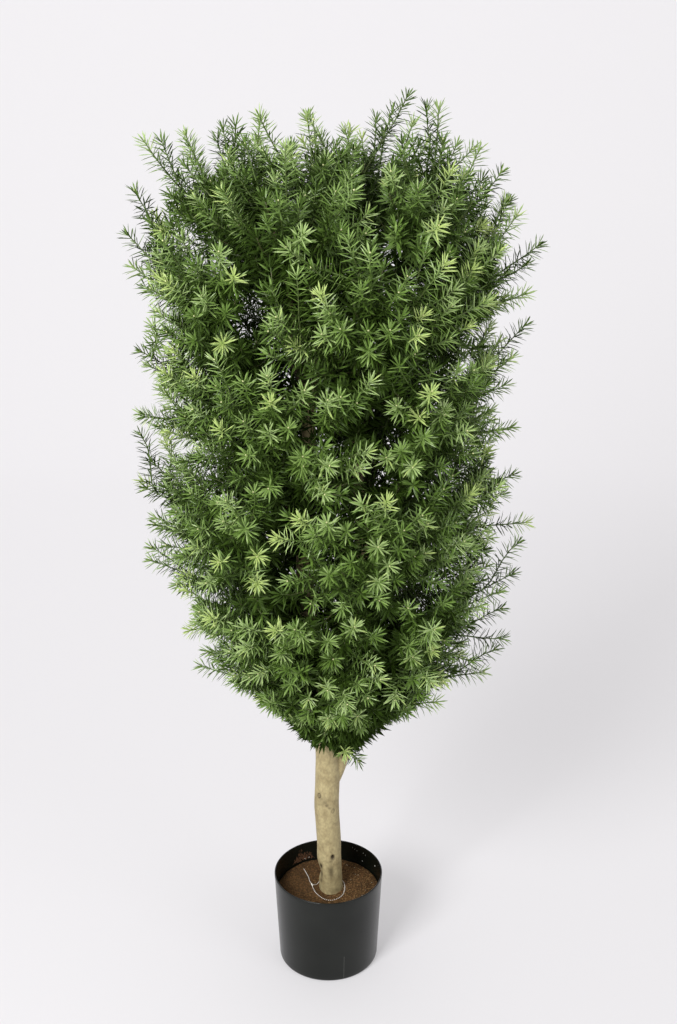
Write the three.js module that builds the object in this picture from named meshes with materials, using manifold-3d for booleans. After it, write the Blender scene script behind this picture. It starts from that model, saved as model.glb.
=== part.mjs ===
// Artificial potted yew: a natural wood pole with one fork, set in a filled black nursery pot, carries
// moulded boughs whose sprays of needles make a tall, flat-topped column.
// Millimetres, +Z up, origin at the centre of the pot's underside, and the front of the tree towards -Y.
import * as THREE from "three";
import { mergeVertices } from "three/addons/utils/BufferGeometryUtils.js";
import Module from "manifold-3d";

const wasm = await Module();
wasm.setup();

const { clamp, degToRad, lerp } = THREE.MathUtils;

// Clearance between neighbouring pieces.
const CLEARANCE = 0.3;

// Pot, and its cement filling with brown granulate on top.
const POT_HEIGHT = 170;
const POT_TOP_RADIUS = 94;
const POT_BASE_RADIUS = 86;
const POT_WALL = 2.2;
const POT_FLOOR = 3;
const POT_EDGE = 4;
const POT_SIDES = 32;
const FILLING_EDGE = 131;
const FILLING_TOP = 138;
const FILLING_FLAT_RADIUS = 62;
const SOCKET_DEPTH = 12;

// String loop: a thin ring of beaded string lying round the pole, with a loose tail.
const LOOP_CENTRE = [3, -9];
const LOOP_REACH = [30, 31];
const LOOP_TAIL = [-45, 50];
const LOOP_CLASP = 0.9 * Math.PI;
const LOOP_STEPS = 24;
const STRING_RADIUS = 0.8;

// Pole and fork: centre line [x, y, z] with the radius there.
const POLE = [
  [5, 0, FILLING_TOP - SOCKET_DEPTH, 20],
  [3, 0, 180, 20.6],
  [1, 0, 240, 20.4],
  [-2, 0, 305, 21],
  [-1, 0, 360, 20.6],
  [-1, 0, 415, 18.8],
  [-18, 2, 530, 17],
  [-37, 2, 690, 15],
  [-34, -2, 850, 13],
  [-28, 0, 1005, 11],
  [-18, 2, 1175, 7.5],
];
const FORK = [
  [0, 6, 335, 14],
  [19, 10, 385, 14.5],
  [37, 16, 450, 13.5],
  [56, 20, 560, 12],
  [60, 16, 720, 10.5],
  [50, 10, 880, 9],
  [42, 6, 1040, 7],
];
const POLE_SIDES = 9;
const POLE_STEPS = 18;
const FORK_SIDES = 7;
const FORK_STEPS = 11;
const FRAME_STEPS = 60;

// Outline of the crown as [reach from its axis, height], from the lowest sprays to the top.
const CROWN_AXIS_X = 8;
const OUTLINE = [
  [95, 455],
  [135, 495],
  [200, 550],
  [240, 610],
  [258, 700],
  [288, 790],
  [291, 900],
  [283, 1030],
  [284, 1130],
  [292, 1230],
  [291, 1320],
  [270, 1390],
  [215, 1438],
  [110, 1462],
  [0, 1474],
];
// The low part of the crown stands to the right of the axis: [height, shift].
const LOW_SHIFT = [
  [500, 26],
  [820, 4],
  [1500, 0],
];
const SHIFT_REACH = 200;
// Sprays that stand out of the outline, as [x, height] in the plane of the pole and fork.
const LEADING_TIPS = [
  [-222, 578], [-240, 640], [-294, 772], [-299, 900], [-294, 1011], [-292, 1120],
  [-296, 1252], [-300, 1301], [-268, 1436], [-205, 1446], [-101, 1474], [-20, 1468],
  [41, 1458], [121, 1500], [160, 1484], [224, 1426], [261, 1393], [323, 1284],
  [308, 1164], [296, 997], [302, 919], [329, 834], [310, 750], [301, 628], [271, 566],
];
// Hollows between the sprays, as [azimuth in degrees, height, radius].
const HOLLOWS = [
  [262, 1290, 45],
  [287, 1310, 28],
  [266, 905, 34],
  [253, 800, 30],
  [296, 1045, 26],
];
// Rise of a spray at its tip in degrees by height: level low on the crown, nearly upright at the top.
const SPRAY_RISE = [
  [430, -8],
  [600, 12],
  [800, 24],
  [1100, 34],
  [1300, 48],
  [1400, 68],
  [1480, 84],
];

// Tiers of foliage from the bottom up: the turn of their first mass in degrees, the height where their
// boughs leave the wood, the reach where their masses begin, how far up the outline the tier goes, the
// sprays in each row of a mass, and its core: how deep under the outline and how far down it lies, and its
// half width, height and depth.
const TIERS = [
  {
    name: "skirt", turn: 20, root: 425, reach: 60, upTo: 0.16,
    rows: [3, 3], depth: 92, drop: 0, core: [54, 24, 20],
  },
  {
    name: "low", turn: 65, root: 540, reach: 90, upTo: 0.32,
    rows: [3, 4], depth: 120, drop: 14, core: [104, 64, 30],
  },
  {
    name: "middle", turn: 25, root: 670, reach: 96, upTo: 0.465,
    rows: [4, 4], depth: 122, drop: 18, core: [116, 74, 32],
  },
  {
    name: "upper", turn: 60, root: 800, reach: 96, upTo: 0.61,
    rows: [4, 4], depth: 122, drop: 18, core: [116, 74, 32],
  },
  {
    name: "shoulder", turn: 20, root: 930, reach: 96, upTo: 0.76,
    rows: [4, 4], depth: 124, drop: 18, core: [116, 76, 32],
  },
  {
    name: "crest", turn: 65, root: 1050, reach: 96, upTo: 0.915,
    rows: [4, 3], depth: 116, drop: 0, core: [104, 60, 30],
  },
];
const TOP = { name: "top", root: 1130, rows: [5], depth: 120, drop: 0, core: [44, 44, 42] };
const MASSES_ROUND = 4;
const CROWN_FLOOR = 395;
const TIER_DROP = 35;
const SPACE_MARGIN = 4;

const BOUGH_RADIUS = [6.5, 4.6];
const BOUGH_SAG = 0.07;
const BOUGH_STRAY = 30;
const BOUGH_END = 20;
const STEM_SHARE = 0.42;
const STEM_RADIUS = [4.4, 6];
const SLOPE_STEP = 0.03;
const ROOT_SPREAD = 0.7;
// How far a tip strays from its place in the pattern, in rows and in columns, how far every other row is
// set to one side, and the least share of the outline's reach with the most that chance adds.
const TIP_STRAY = [0.4, 0.35];
const ROW_STAGGER = 0.17;
const TIP_REACH = [0.95, 0.07];

// Sprays: a slim twig whose faces are drawn out to needles, larger than life because there are fewer.
const SPRAY_RADIUS = [4, 2.2];
const SPRAY_ARC = 0.45;
const NEEDLE_PITCH = 19;
const NEEDLE_LENGTH = 42;
const NEEDLE_SHARE = [0.88, 0.2];
const NEEDLE_LEAN = [64, 36];
const NEEDLE_TURN = 0.5;
const NEEDLE_SCATTER = 0.36;

const MATERIALS = {
  pot: new THREE.MeshStandardMaterial({ color: 0x1d201f, roughness: 0.42, metalness: 0 }),
  filling: new THREE.MeshStandardMaterial({ color: 0x6b4226, roughness: 0.95, metalness: 0 }),
  wood: new THREE.MeshStandardMaterial({ color: 0xb3a27a, roughness: 0.75, metalness: 0 }),
  bough: new THREE.MeshStandardMaterial({ color: 0x3d2c1c, roughness: 0.6, metalness: 0 }),
  needles: new THREE.MeshStandardMaterial({ color: 0x3f6a2c, roughness: 0.5, metalness: 0 }),
  string: new THREE.MeshStandardMaterial({ color: 0xe6e2da, roughness: 0.6, metalness: 0 }),
};

// Repeatable number from 0 to 1 for two whole numbers.
function chance(a, b) {
  const s = Math.sin(a * 127.1 + b * 311.7) * 43758.5453;
  return s - Math.floor(s);
}

// Value at x in a table of [x, value] rows, straight between the rows.
function between(table, x) {
  const next = table.findIndex((row) => row[0] >= x);
  if (next === 0) return table[0][1];
  if (next < 0) return table[table.length - 1][1];
  const [x0, v0] = table[next - 1];
  const [x1, v1] = table[next];
  return v0 + ((v1 - v0) * (x - x0)) / (x1 - x0);
}

// The same geometry with only positions, each shared point once.
function merged(geometry) {
  const bare = geometry.clone();
  bare.deleteAttribute("normal");
  bare.deleteAttribute("uv");
  return mergeVertices(bare, 1e-4);
}

function solidOf(geometry) {
  const { attributes, index } = merged(geometry);
  return new wasm.Manifold(
    new wasm.Mesh({
      numProp: 3,
      vertProperties: new Float32Array(attributes.position.array),
      triVerts: new Uint32Array(index.array),
    }),
  );
}

// The solid without the loose scraps that a cut or join leaves.
function wholePiece(solid) {
  return solid.decompose().sort((a, b) => b.volume() - a.volume())[0];
}

function meshOf(name, solid, material) {
  const made = solid.getMesh();
  const geometry = new THREE.BufferGeometry();
  geometry.setAttribute("position", new THREE.BufferAttribute(made.vertProperties, 3));
  geometry.setIndex(new THREE.BufferAttribute(made.triVerts, 1));
  geometry.computeVertexNormals();
  const mesh = new THREE.Mesh(geometry, material);
  mesh.name = name;
  return mesh;
}

// From straight to bent: the point at a distance along a curve, set off to its two sides.
function alongCurve(curve) {
  const length = curve.getLength();
  const frames = curve.computeFrenetFrames(FRAME_STEPS, false);
  return (x, along, z) => {
    const share = clamp(along / length, 0, 1);
    const i = Math.round(share * FRAME_STEPS);
    return curve
      .getPointAt(share)
      .addScaledVector(frames.tangents[i], along - share * length)
      .addScaledVector(frames.normals[i], z)
      .addScaledVector(frames.binormals[i], x);
  };
}

// Upright cylinder from y = 0 whose axis is then bent along the curve.
function bend(geometry, curve) {
  const place = alongCurve(curve);
  const position = geometry.attributes.position;
  for (let i = 0; i < position.count; i++) {
    const { x, y, z } = place(position.getX(i), position.getY(i), position.getZ(i));
    position.setXYZ(i, x, y, z);
  }
  return geometry;
}

// A closed limb along a curve, with its radius given by the share of its length.
function limb(curve, radiusAt, sides, steps) {
  const length = curve.getLength();
  const geometry = new THREE.CylinderGeometry(1, 1, length, sides, steps);
  geometry.translate(0, length / 2, 0);
  const position = geometry.attributes.position;
  for (let i = 0; i < position.count; i++) {
    const radius = radiusAt(clamp(position.getY(i) / length, 0, 1));
    position.setX(i, position.getX(i) * radius);
    position.setZ(i, position.getZ(i) * radius);
  }
  return solidOf(bend(geometry, curve));
}

// Smooth centre line through a stem's table, its foot set down by what the stem is grown.
function woodCurve(rows, grown = 0) {
  const points = rows.map(([x, y, z], i) => new THREE.Vector3(x, y, i ? z : z - grown));
  return new THREE.CatmullRomCurve3(points);
}

// Wooden stem along its table, or the same grown all round.
function woodStem(rows, sides, steps, grown = 0) {
  const curve = woodCurve(rows, grown);
  const radii = rows.map((row) => [row[2], row[3]]);
  return limb(curve, (share) => between(radii, curve.getPointAt(share).z) + grown, sides, steps);
}

// Point of a stem's centre line at a height.
function stemAt(rows, height) {
  const [x, y] = [0, 1].map((i) => between(rows.map((row) => [row[2], row[i]]), height));
  return new THREE.Vector3(x, y, height);
}

function turned(profile) {
  const points = profile.map(([r, z]) => new THREE.Vector2(r, z));
  const geometry = new THREE.LatheGeometry(points, POT_SIDES);
  geometry.rotateX(Math.PI / 2);
  return solidOf(geometry);
}

function potRadius(height) {
  return lerp(POT_BASE_RADIUS, POT_TOP_RADIUS, height / POT_HEIGHT);
}

function makePot() {
  return turned([
    [0, 0],
    [POT_BASE_RADIUS - POT_EDGE, 0],
    [POT_BASE_RADIUS - POT_EDGE * 0.3, POT_EDGE * 0.3],
    [potRadius(POT_EDGE), POT_EDGE],
    [POT_TOP_RADIUS, POT_HEIGHT - 1],
    [POT_TOP_RADIUS - 0.6, POT_HEIGHT],
    [POT_TOP_RADIUS - POT_WALL, POT_HEIGHT],
    [potRadius(POT_FLOOR) - POT_WALL, POT_FLOOR],
    [0, POT_FLOOR],
  ]);
}

// Filling: it stands clear of the pot's wall and floor, with a socket for the pole.
function makeFilling(poleGrown) {
  const low = POT_FLOOR + CLEARANCE;
  const inside = (height) => potRadius(height) - POT_WALL - 2 * CLEARANCE;
  return turned([
    [0, low],
    [inside(low), low],
    [inside(FILLING_EDGE), FILLING_EDGE],
    [FILLING_FLAT_RADIUS, FILLING_TOP],
    [0, FILLING_TOP],
  ]).subtract(poleGrown);
}

// String loop: an oval ring and a tail, fused at the clasp.
function makeStringLoop() {
  const height = FILLING_TOP + CLEARANCE + STRING_RADIUS;
  const around = (angle) =>
    new THREE.Vector3(
      LOOP_CENTRE[0] + LOOP_REACH[0] * Math.cos(angle),
      LOOP_CENTRE[1] + LOOP_REACH[1] * Math.sin(angle),
      height,
    );
  const turn = Array.from({ length: LOOP_STEPS }, (_, i) => around((2 * Math.PI * i) / LOOP_STEPS));
  const oval = new THREE.CatmullRomCurve3(turn, true);
  const ring = new THREE.TubeGeometry(oval, LOOP_STEPS, STRING_RADIUS, 4, true);
  const start = around(LOOP_CLASP);
  const tail = new THREE.LineCurve3(start, new THREE.Vector3(...LOOP_TAIL, height));
  const knob = new THREE.SphereGeometry(STRING_RADIUS * 2, 6, 4);
  knob.scale(1, 1, 0.5);
  knob.translate(start.x, start.y, height);
  return solidOf(ring)
    .add(limb(tail, () => STRING_RADIUS, 4, 1))
    .add(solidOf(knob));
}

// Lengths along the outline, for placing sprays evenly on it.
const outlineLengths = OUTLINE.reduce((lengths, [r, z], i) => {
  const step = i ? Math.hypot(r - OUTLINE[i - 1][0], z - OUTLINE[i - 1][1]) : 0;
  return [...lengths, (lengths[i - 1] ?? 0) + step];
}, []);

// [reach, height] of the outline at a share of its length.
function outlineAt(share) {
  const at = share * outlineLengths[outlineLengths.length - 1];
  return [0, 1].map((i) => between(OUTLINE.map((row, n) => [outlineLengths[n], row[i]]), at));
}

// Sideways shift of the crown's axis, which grows from the wood outwards.
function shiftAt(height, reach) {
  return CROWN_AXIS_X + between(LOW_SHIFT, height) * Math.min(1, reach / SHIFT_REACH);
}

function onCrown(azimuth, reach, height) {
  const x = shiftAt(height, reach) + reach * Math.cos(azimuth);
  return new THREE.Vector3(x, reach * Math.sin(azimuth), height);
}

// Azimuth and reach of a point about the crown's axis.
function fromAxis(point) {
  const rough = Math.hypot(point.x - CROWN_AXIS_X, point.y);
  const x = point.x - shiftAt(point.z, rough);
  return { azimuth: Math.atan2(point.y, x), reach: Math.hypot(x, point.y) };
}

// Height of the sloping surface under a tier: it rises from the wood out to the outline.
function tierFloor(level, reach) {
  if (level === 0) return CROWN_FLOOR;
  const atWood = level < TIERS.length ? TIERS[level].root - TIER_DROP : TOP.root;
  const [edgeReach, edgeHeight] = outlineAt(TIERS[level - 1].upTo);
  return lerp(atWood, edgeHeight, reach / edgeReach);
}

// The space of one mass: its tier's slice of height and its own sector of azimuth.
function inSpace(mass, point, margin = SPACE_MARGIN) {
  const { azimuth, reach } = fromAxis(point);
  if (point.z < tierFloor(mass.level, reach) + margin) return false;
  if (mass.isTop) return true;
  if (reach < mass.reach + CLEARANCE) return false;
  if (point.z > tierFloor(mass.level + 1, reach) - margin) return false;
  const turn = Math.atan2(Math.sin(azimuth - mass.azimuth), Math.cos(azimuth - mass.azimuth));
  const inside = mass.half - Math.abs(turn);
  return inside > 0 && reach * Math.sin(inside) > margin;
}

// The masses, from the lowest tier to the single one on the pole's tip.
const masses = TIERS.flatMap((tier, level) =>
  Array.from({ length: MASSES_ROUND }, (_, i) => ({
    ...tier,
    name: `${tier.name}_${i + 1}`,
    seed: level * 10 + i + 3,
    level,
    azimuth: degToRad(tier.turn + (360 / MASSES_ROUND) * i),
    half: Math.PI / MASSES_ROUND,
    from: level ? TIERS[level - 1].upTo : 0,
  })),
);
masses.push({
  ...TOP,
  isTop: true,
  seed: 95,
  level: TIERS.length,
  azimuth: 0,
  half: Math.PI,
  from: TIERS[TIERS.length - 1].upTo,
  upTo: 1,
});

// Tips of a mass's sprays: rows and columns on its patch of the outline, each a little displaced, with
// the nearest one moved out to each leading tip in its space.
function tipsOf(mass) {
  const tips = [];
  for (const [row, columns] of mass.rows.entries()) {
    for (let column = 0; column < columns; column++) {
      const n = tips.length;
      const stray = [0, 20].map((more, i) => TIP_STRAY[i] * (chance(mass.seed, n + more) - 0.5));
      const up = (row + 0.5 + stray[0]) / mass.rows.length;
      const stagger = row % 2 ? ROW_STAGGER : -ROW_STAGGER;
      const across = (column + 0.5 + stagger + stray[1]) / columns;
      const azimuth = mass.azimuth + mass.half * (2 * across - 1);
      const [reach, height] = outlineAt(lerp(mass.from, mass.upTo, up));
      const out = TIP_REACH[0] + TIP_REACH[1] * chance(mass.seed, n + 40);
      tips.push(onCrown(azimuth, reach * out, height));
    }
  }
  const free = [...tips];
  for (const [x, z] of LEADING_TIPS) {
    const lead = new THREE.Vector3(x, 0, z);
    if (!free.length || !inSpace(mass, lead, 0)) continue;
    free.sort((a, b) => a.distanceTo(lead) - b.distanceTo(lead));
    free.shift().copy(lead);
  }
  return tips;
}

function inHollow(point) {
  const { reach } = fromAxis(point);
  return HOLLOWS.some(
    ([azimuth, height, radius]) => point.distanceTo(onCrown(degToRad(azimuth), reach, height)) < radius,
  );
}

// Direction of a spray at its tip.
function sprayDirection(tip) {
  const { azimuth } = fromAxis(tip);
  const rise = degToRad(between(SPRAY_RISE, tip.z));
  return new THREE.Vector3(
    Math.cos(azimuth) * Math.cos(rise),
    Math.sin(azimuth) * Math.cos(rise),
    Math.sin(rise),
  );
}

// A mass's core: its middle, which lies below its patch of the outline, and its directions across, up along
// the patch and out of it.
function coreOf(mass) {
  const share = lerp(mass.from, mass.upTo, mass.isTop ? 1 : 0.5);
  const [reach, height] = outlineAt(share);
  const [before, after] = [outlineAt(share - SLOPE_STEP), outlineAt(share + SLOPE_STEP)];
  const slope = mass.isTop ? 0 : Math.atan2(after[1] - before[1], before[0] - after[0]);
  const face = onCrown(mass.azimuth, reach, height);
  const middle = face.clone().addScaledVector(sprayDirection(face), -mass.depth);
  middle.z -= mass.drop;
  const across = new THREE.Vector3(-Math.sin(mass.azimuth), Math.cos(mass.azimuth), 0);
  const up = new THREE.Vector3(
    -Math.cos(mass.azimuth) * Math.cos(slope),
    -Math.sin(mass.azimuth) * Math.cos(slope),
    Math.sin(slope),
  );
  return { middle, across, up, out: new THREE.Vector3().crossVectors(across, up) };
}

// Curve of a spray's twig, from inside the core to a needle's length before the tip.
function sprayCurve(mass, tip) {
  const { middle, across, up } = coreOf(mass);
  const offset = tip.clone().sub(middle);
  const [a, b] = [offset.dot(across) / mass.core[0], offset.dot(up) / mass.core[1]];
  const spread = ROOT_SPREAD / Math.max(1, Math.hypot(a, b));
  const root = middle
    .clone()
    .addScaledVector(across, a * spread * mass.core[0])
    .addScaledVector(up, b * spread * mass.core[1]);
  const direction = sprayDirection(tip).add(offset.normalize()).normalize();
  const end = tip.clone().addScaledVector(direction, -NEEDLE_LENGTH);
  const control = end.clone().addScaledVector(direction, -SPRAY_ARC * root.distanceTo(end));
  return new THREE.QuadraticBezierCurve3(root, control, end);
}

// Whether a point lies inside a mass's core.
function inCore(mass, point) {
  const { middle, across, up, out } = coreOf(mass);
  const offset = point.clone().sub(middle);
  return Math.hypot(...[across, up, out].map((way, i) => offset.dot(way) / mass.core[i])) < 1;
}

// One spray: a three-sided twig, on which each face outside the core is drawn out to a needle, and one more
// needle at its end. A twig or needle that would leave the space is skipped.
function spray(mass, seed, tip) {
  const curve = sprayCurve(mass, tip);
  const length = curve.getLength();
  const steps = Math.round(length / NEEDLE_PITCH);
  if (steps < 1) return null;
  if (!curve.getSpacedPoints(steps).slice(1).every((point) => inSpace(mass, point))) return null;
  const place = alongCurve(curve);
  const twig = new THREE.CylinderGeometry(SPRAY_RADIUS[1], SPRAY_RADIUS[0], length, 3, steps);
  twig.translate(0, length / 2, 0);
  const { attributes, index } = merged(twig);
  const corners = [];
  for (let i = 0; i < attributes.position.count; i++) {
    const corner = new THREE.Vector3().fromBufferAttribute(attributes.position, i);
    const isEnd = Math.hypot(corner.x, corner.z) < 0.01 && corner.y > length / 2;
    if (isEnd && inSpace(mass, tip)) corner.y += NEEDLE_LENGTH;
    corners.push(corner);
  }
  const faces = [];
  for (let i = 0; i < index.count; i += 3) {
    const [a, b, c] = [0, 1, 2].map((n) => index.getX(i + n));
    const middle = corners[a].clone().add(corners[b]).add(corners[c]).divideScalar(3);
    const isSide = [a, b, c].every((n) => Math.hypot(corners[n].x, corners[n].z) > 0.01);
    const lean = degToRad(lerp(...NEEDLE_LEAN, middle.y / length));
    const side = i % 2 ? NEEDLE_TURN : -NEEDLE_TURN;
    const around = Math.atan2(middle.x, middle.z) + side + NEEDLE_SCATTER * (chance(seed, i) - 0.5);
    const point = middle.clone().add(
      new THREE.Vector3(
        Math.sin(around) * Math.sin(lean),
        Math.cos(lean),
        Math.cos(around) * Math.sin(lean),
      ).multiplyScalar(NEEDLE_LENGTH * (NEEDLE_SHARE[0] + NEEDLE_SHARE[1] * chance(seed, i + 1))),
    );
    const isFree = isSide && !inCore(mass, place(middle.x, middle.y, middle.z));
    if (isFree && inSpace(mass, place(point.x, point.y, point.z))) {
      const raised = corners.push(point) - 1;
      faces.push(a, b, raised, b, c, raised, c, a, raised);
    } else {
      faces.push(a, b, c);
    }
  }
  const geometry = new THREE.BufferGeometry().setFromPoints(corners);
  geometry.setIndex(faces);
  return solidOf(bend(geometry, curve));
}

// Centre line of a bough: it leaves the nearer stem and sags a little on its way to its mass's core.
function boughCurve(mass) {
  const rootHeight = mass.root + BOUGH_STRAY * (chance(mass.seed, 5) - 0.5);
  const { middle } = coreOf(mass);
  const beside = (rows) =>
    rows[0][2] < rootHeight - BOUGH_END && rows[rows.length - 1][2] > rootHeight + BOUGH_END;
  const roots = [POLE, FORK].filter(beside).map((rows) => stemAt(rows, rootHeight));
  const root = roots.sort((a, b) => a.distanceTo(middle) - b.distanceTo(middle))[0];
  const toCore = middle.clone().sub(root);
  const end = root.clone().addScaledVector(toCore, 1 - STEM_SHARE);
  const control = root.clone().lerp(end, 0.5);
  control.z -= BOUGH_SAG * root.distanceTo(end);
  return new THREE.QuadraticBezierCurve3(root, control, end);
}

const poleGrown = woodStem(POLE, POLE_SIDES, POLE_STEPS, CLEARANCE);
const forkGrown = woodStem(FORK, FORK_SIDES, FORK_STEPS, CLEARANCE);

// A bough: one tapering limb, cut clear of the wood that it leaves.
function makeBough(mass) {
  const whole = limb(boughCurve(mass), (share) => lerp(...BOUGH_RADIUS, share), 4, 2);
  return wholePiece(whole.subtract(poleGrown).subtract(forkGrown));
}

// A mass of foliage: its stem goes on from the bough's end, or from the pole's tip, into a core that the
// sprays stand out of.
function makeMass(mass) {
  const { middle, across, up, out } = coreOf(mass);
  const bough = mass.isTop ? woodCurve(POLE) : boughCurve(mass);
  const way = bough.getTangentAt(1);
  const foot = bough.getPointAt(1).addScaledVector(way, CLEARANCE);
  const control = foot.clone().addScaledVector(way, foot.distanceTo(middle) / 2);
  const line = new THREE.QuadraticBezierCurve3(foot, control, middle);
  const core = new THREE.IcosahedronGeometry(1, 0);
  core.scale(...mass.core);
  core.applyMatrix4(new THREE.Matrix4().makeBasis(across, up, out).setPosition(middle));
  const stem = limb(line, (share) => lerp(...STEM_RADIUS, share), 4, 2);
  let made = stem.add(solidOf(core));
  for (const [n, tip] of tipsOf(mass).entries()) {
    const grown = inHollow(tip) ? null : spray(mass, mass.seed * 100 + n, tip);
    if (grown) made = made.add(grown);
  }
  return wholePiece(made);
}

const tree = new THREE.Group();
tree.add(meshOf("pot", makePot(), MATERIALS.pot));
tree.add(meshOf("pot_filling", makeFilling(poleGrown), MATERIALS.filling));
tree.add(meshOf("string_loop", makeStringLoop(), MATERIALS.string));
tree.add(meshOf("trunk", woodStem(POLE, POLE_SIDES, POLE_STEPS), MATERIALS.wood));
tree.add(meshOf("fork_stem", woodStem(FORK, FORK_SIDES, FORK_STEPS).subtract(poleGrown), MATERIALS.wood));
for (const mass of masses) {
  if (!mass.isTop) tree.add(meshOf(`bough_${mass.name}`, makeBough(mass), MATERIALS.bough));
  tree.add(meshOf(`foliage_${mass.name}`, makeMass(mass), MATERIALS.needles));
}

export default tree;
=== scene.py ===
"""Looks of the artificial potted yew: smooth bark, brown granulate in a black pot, and sprays of needles.

The growth rule works in millimetres in the shared frame, and a mesh is put down in metres.
"""
import math

import bpy
import numpy as np
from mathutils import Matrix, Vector


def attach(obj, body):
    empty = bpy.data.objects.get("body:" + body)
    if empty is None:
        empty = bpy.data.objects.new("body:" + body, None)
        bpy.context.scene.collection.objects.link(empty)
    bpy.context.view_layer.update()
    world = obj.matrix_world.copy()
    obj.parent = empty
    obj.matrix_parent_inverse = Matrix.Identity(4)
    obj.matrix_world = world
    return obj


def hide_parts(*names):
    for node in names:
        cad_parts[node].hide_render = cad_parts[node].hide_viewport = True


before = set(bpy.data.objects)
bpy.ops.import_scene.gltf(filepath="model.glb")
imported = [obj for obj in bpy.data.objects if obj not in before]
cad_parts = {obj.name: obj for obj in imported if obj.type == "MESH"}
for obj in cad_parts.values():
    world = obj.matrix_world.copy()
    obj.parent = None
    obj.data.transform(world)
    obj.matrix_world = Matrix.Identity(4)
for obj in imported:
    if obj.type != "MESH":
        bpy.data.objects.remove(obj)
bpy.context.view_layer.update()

MM = 0.001

# Finishes: detail of the noise of spots and of the bump, and the bump's full height in metres.
SPOT_DETAIL = 5
BUMP_DETAIL = 3
BUMP_HEIGHT = 0.0005

# Camera: place, downward tilt, lens and sensor.
CAMERA_PLACE = (0.0178, -2.212, 1.772)
CAMERA_TILT = 22.64
CAMERA_LENS = 53.44
CAMERA_SENSOR = 36

# Stage, in metres: a floor just under the pot that curves up into a wall, and glows more towards the back.
STAGE_HALF_WIDTH = 6.0
STAGE_FRONT = -4.0
CURVE_START = 2.2
CURVE_RADIUS = 1.6
CURVE_ANGLES = (0.07, math.pi / 2, 24)
WALL_TOP = 7.0
UNDER_POT = 0.0002
FLOOR_FINISH = {"Base Color": (0.52, 0.512, 0.527, 1), "Roughness": 0.9, "Specular IOR Level": 0.1,
                "Emission Color": (1.0, 0.985, 1.0, 1)}
GLOW_BY_DEPTH = {"From Min": -0.8, "From Max": 2.4, "To Min": 0.23, "To Max": 0.39}
SKY_COLOUR = (0.96, 0.95, 0.94)
SKY_STRENGTH = 0.60
# Large soft lamps: name, place, aim, side and power.
LAMPS = [
    ("key", (-1.75, -2.9, 2.85), (0, 0, 0.9), 1.5, 150),
    ("fill", (2.4, -2.0, 2.2), (0, 0, 0.8), 1.8, 19),
    ("above", (0.0, 0.8, 3.8), (0, 0.3, 0.5), 2.6, 7),
]

# Pot: its flat round caps lie under the foot and, inside, under the filling. The rim's section is given as
# steps inwards and downwards from its outer top edge.
POT_HEIGHT = 170.0
POT_TOP_RADIUS = 94.0
POT_BASE_RADIUS = 86.0
POT_WALL = 2.2
POT_SIDES = 160
POT_CAP_RADIUS = 40.0
POT_INSIDE_FLOOR = 60.0
FOOT_ROUND = 5.0
FOOT_TURN = 1.5
# Points of its section round the foot, up the outside and down the inside, and how far under the rim the
# outside and the inside end.
FOOT_STEPS = 9
OUTSIDE_STEPS = 24
INSIDE_STEPS = 20
OUTSIDE_UNDER_RIM = 1.2
INSIDE_UNDER_RIM = 2.0
RIM_STEPS = [(0.2, 0.4), (0.8, 0.0), (1.8, 0.0), (2.2, 0.6)]
# The mould's line on the outside: azimuth, lowest and highest place, half width and how far it stands out.
MOULD_LINE_AZIMUTH = math.radians(-71.8)
MOULD_LINE_HEIGHTS = (4, 52, 9)
MOULD_LINE_HALF = 0.32
MOULD_LINE_PROUD = 0.2
MOULD_LINE_SUNK = 0.1

# Filling: top, radius, and the radius and height where its side ends.
FILLING_TOP = 138.0
FILLING_RADIUS = 89.6
FILLING_LOW = (88.4, 118.0)
BED_RINGS = 46
BED_SIDES = 120
BED_UNDER_TOP = 0.8
# The bed falls towards the wall, from this radius on, and dips in front of the pole's foot.
EDGE_FALL = 6.0
EDGE_FALL_START = 62.0
EDGE_FALL_WIDTH = 29.0
FOOT_DIP = 3.5
FOOT_DIP_FRONT = 20.0
FOOT_DIP_WIDTH = 8.0
# Grains laid in a sunflower spiral, each strayed a little, and as kinds: name, colour and the end of its
# share of the deal. The left has more of the dark ones.
GRAINS = 6000
GRAIN_MARGIN = 2.5
GRAIN_STRAY = 2.0
GOLDEN_ANGLE = 2.399963
GRAIN_SIZE = (0.7, 0.75)
GRAIN_KINDS = [
    ("dark", (0.050, 0.026, 0.009), 0.36),
    ("red", (0.124, 0.060, 0.021), 0.80),
    ("tan", (0.222, 0.126, 0.050), 0.99),
    ("pale", (0.50, 0.42, 0.30), 1.01),
]
DARKER_AT_LEFT = 0.22
LEFT_REACH = 50.0
# Crumbs of granulate that cling to the pot's inner wall, as middle azimuth, half spread, lowest place and
# highest reach of their patch, and pale flecks there, as azimuth, height and size.
CRUMBS = 420
CRUMB_PATCH = (121, 15, 136, 27)
CRUMB_SIZE = (0.4, 1.3)
FLECKS = np.array([
    (59, 160, 0.7), (56, 158, 0.6), (62, 161, 0.6), (47, 159, 0.8), (44, 157, 0.6),
    (48, 142, 1.4), (25, 152, 1.6), (118, 138.5, 1.5), (113, 139, 1.3),
], float)

# Beaded string on the granulate: its closed way round the pole from the clasp, and its tail.
STRING_ROUTE = np.array([
    [-28, 0], [-24, -16], [-17.5, -27.5], [-7.5, -38.5], [4, -42.5], [15.7, -38], [24.5, -28], [28, -15],
    [28.5, 0], [24, 14], [13, 23.5], [-2, 23.5], [-14, 15], [-20, 3.5],
], float)
STRING_TAIL = np.array([[-28, 0], [-33, 13], [-36, 26], [-44, 48]], float)
STRING_RISE = 0.7
STRETCH_STEPS = 20
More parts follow.
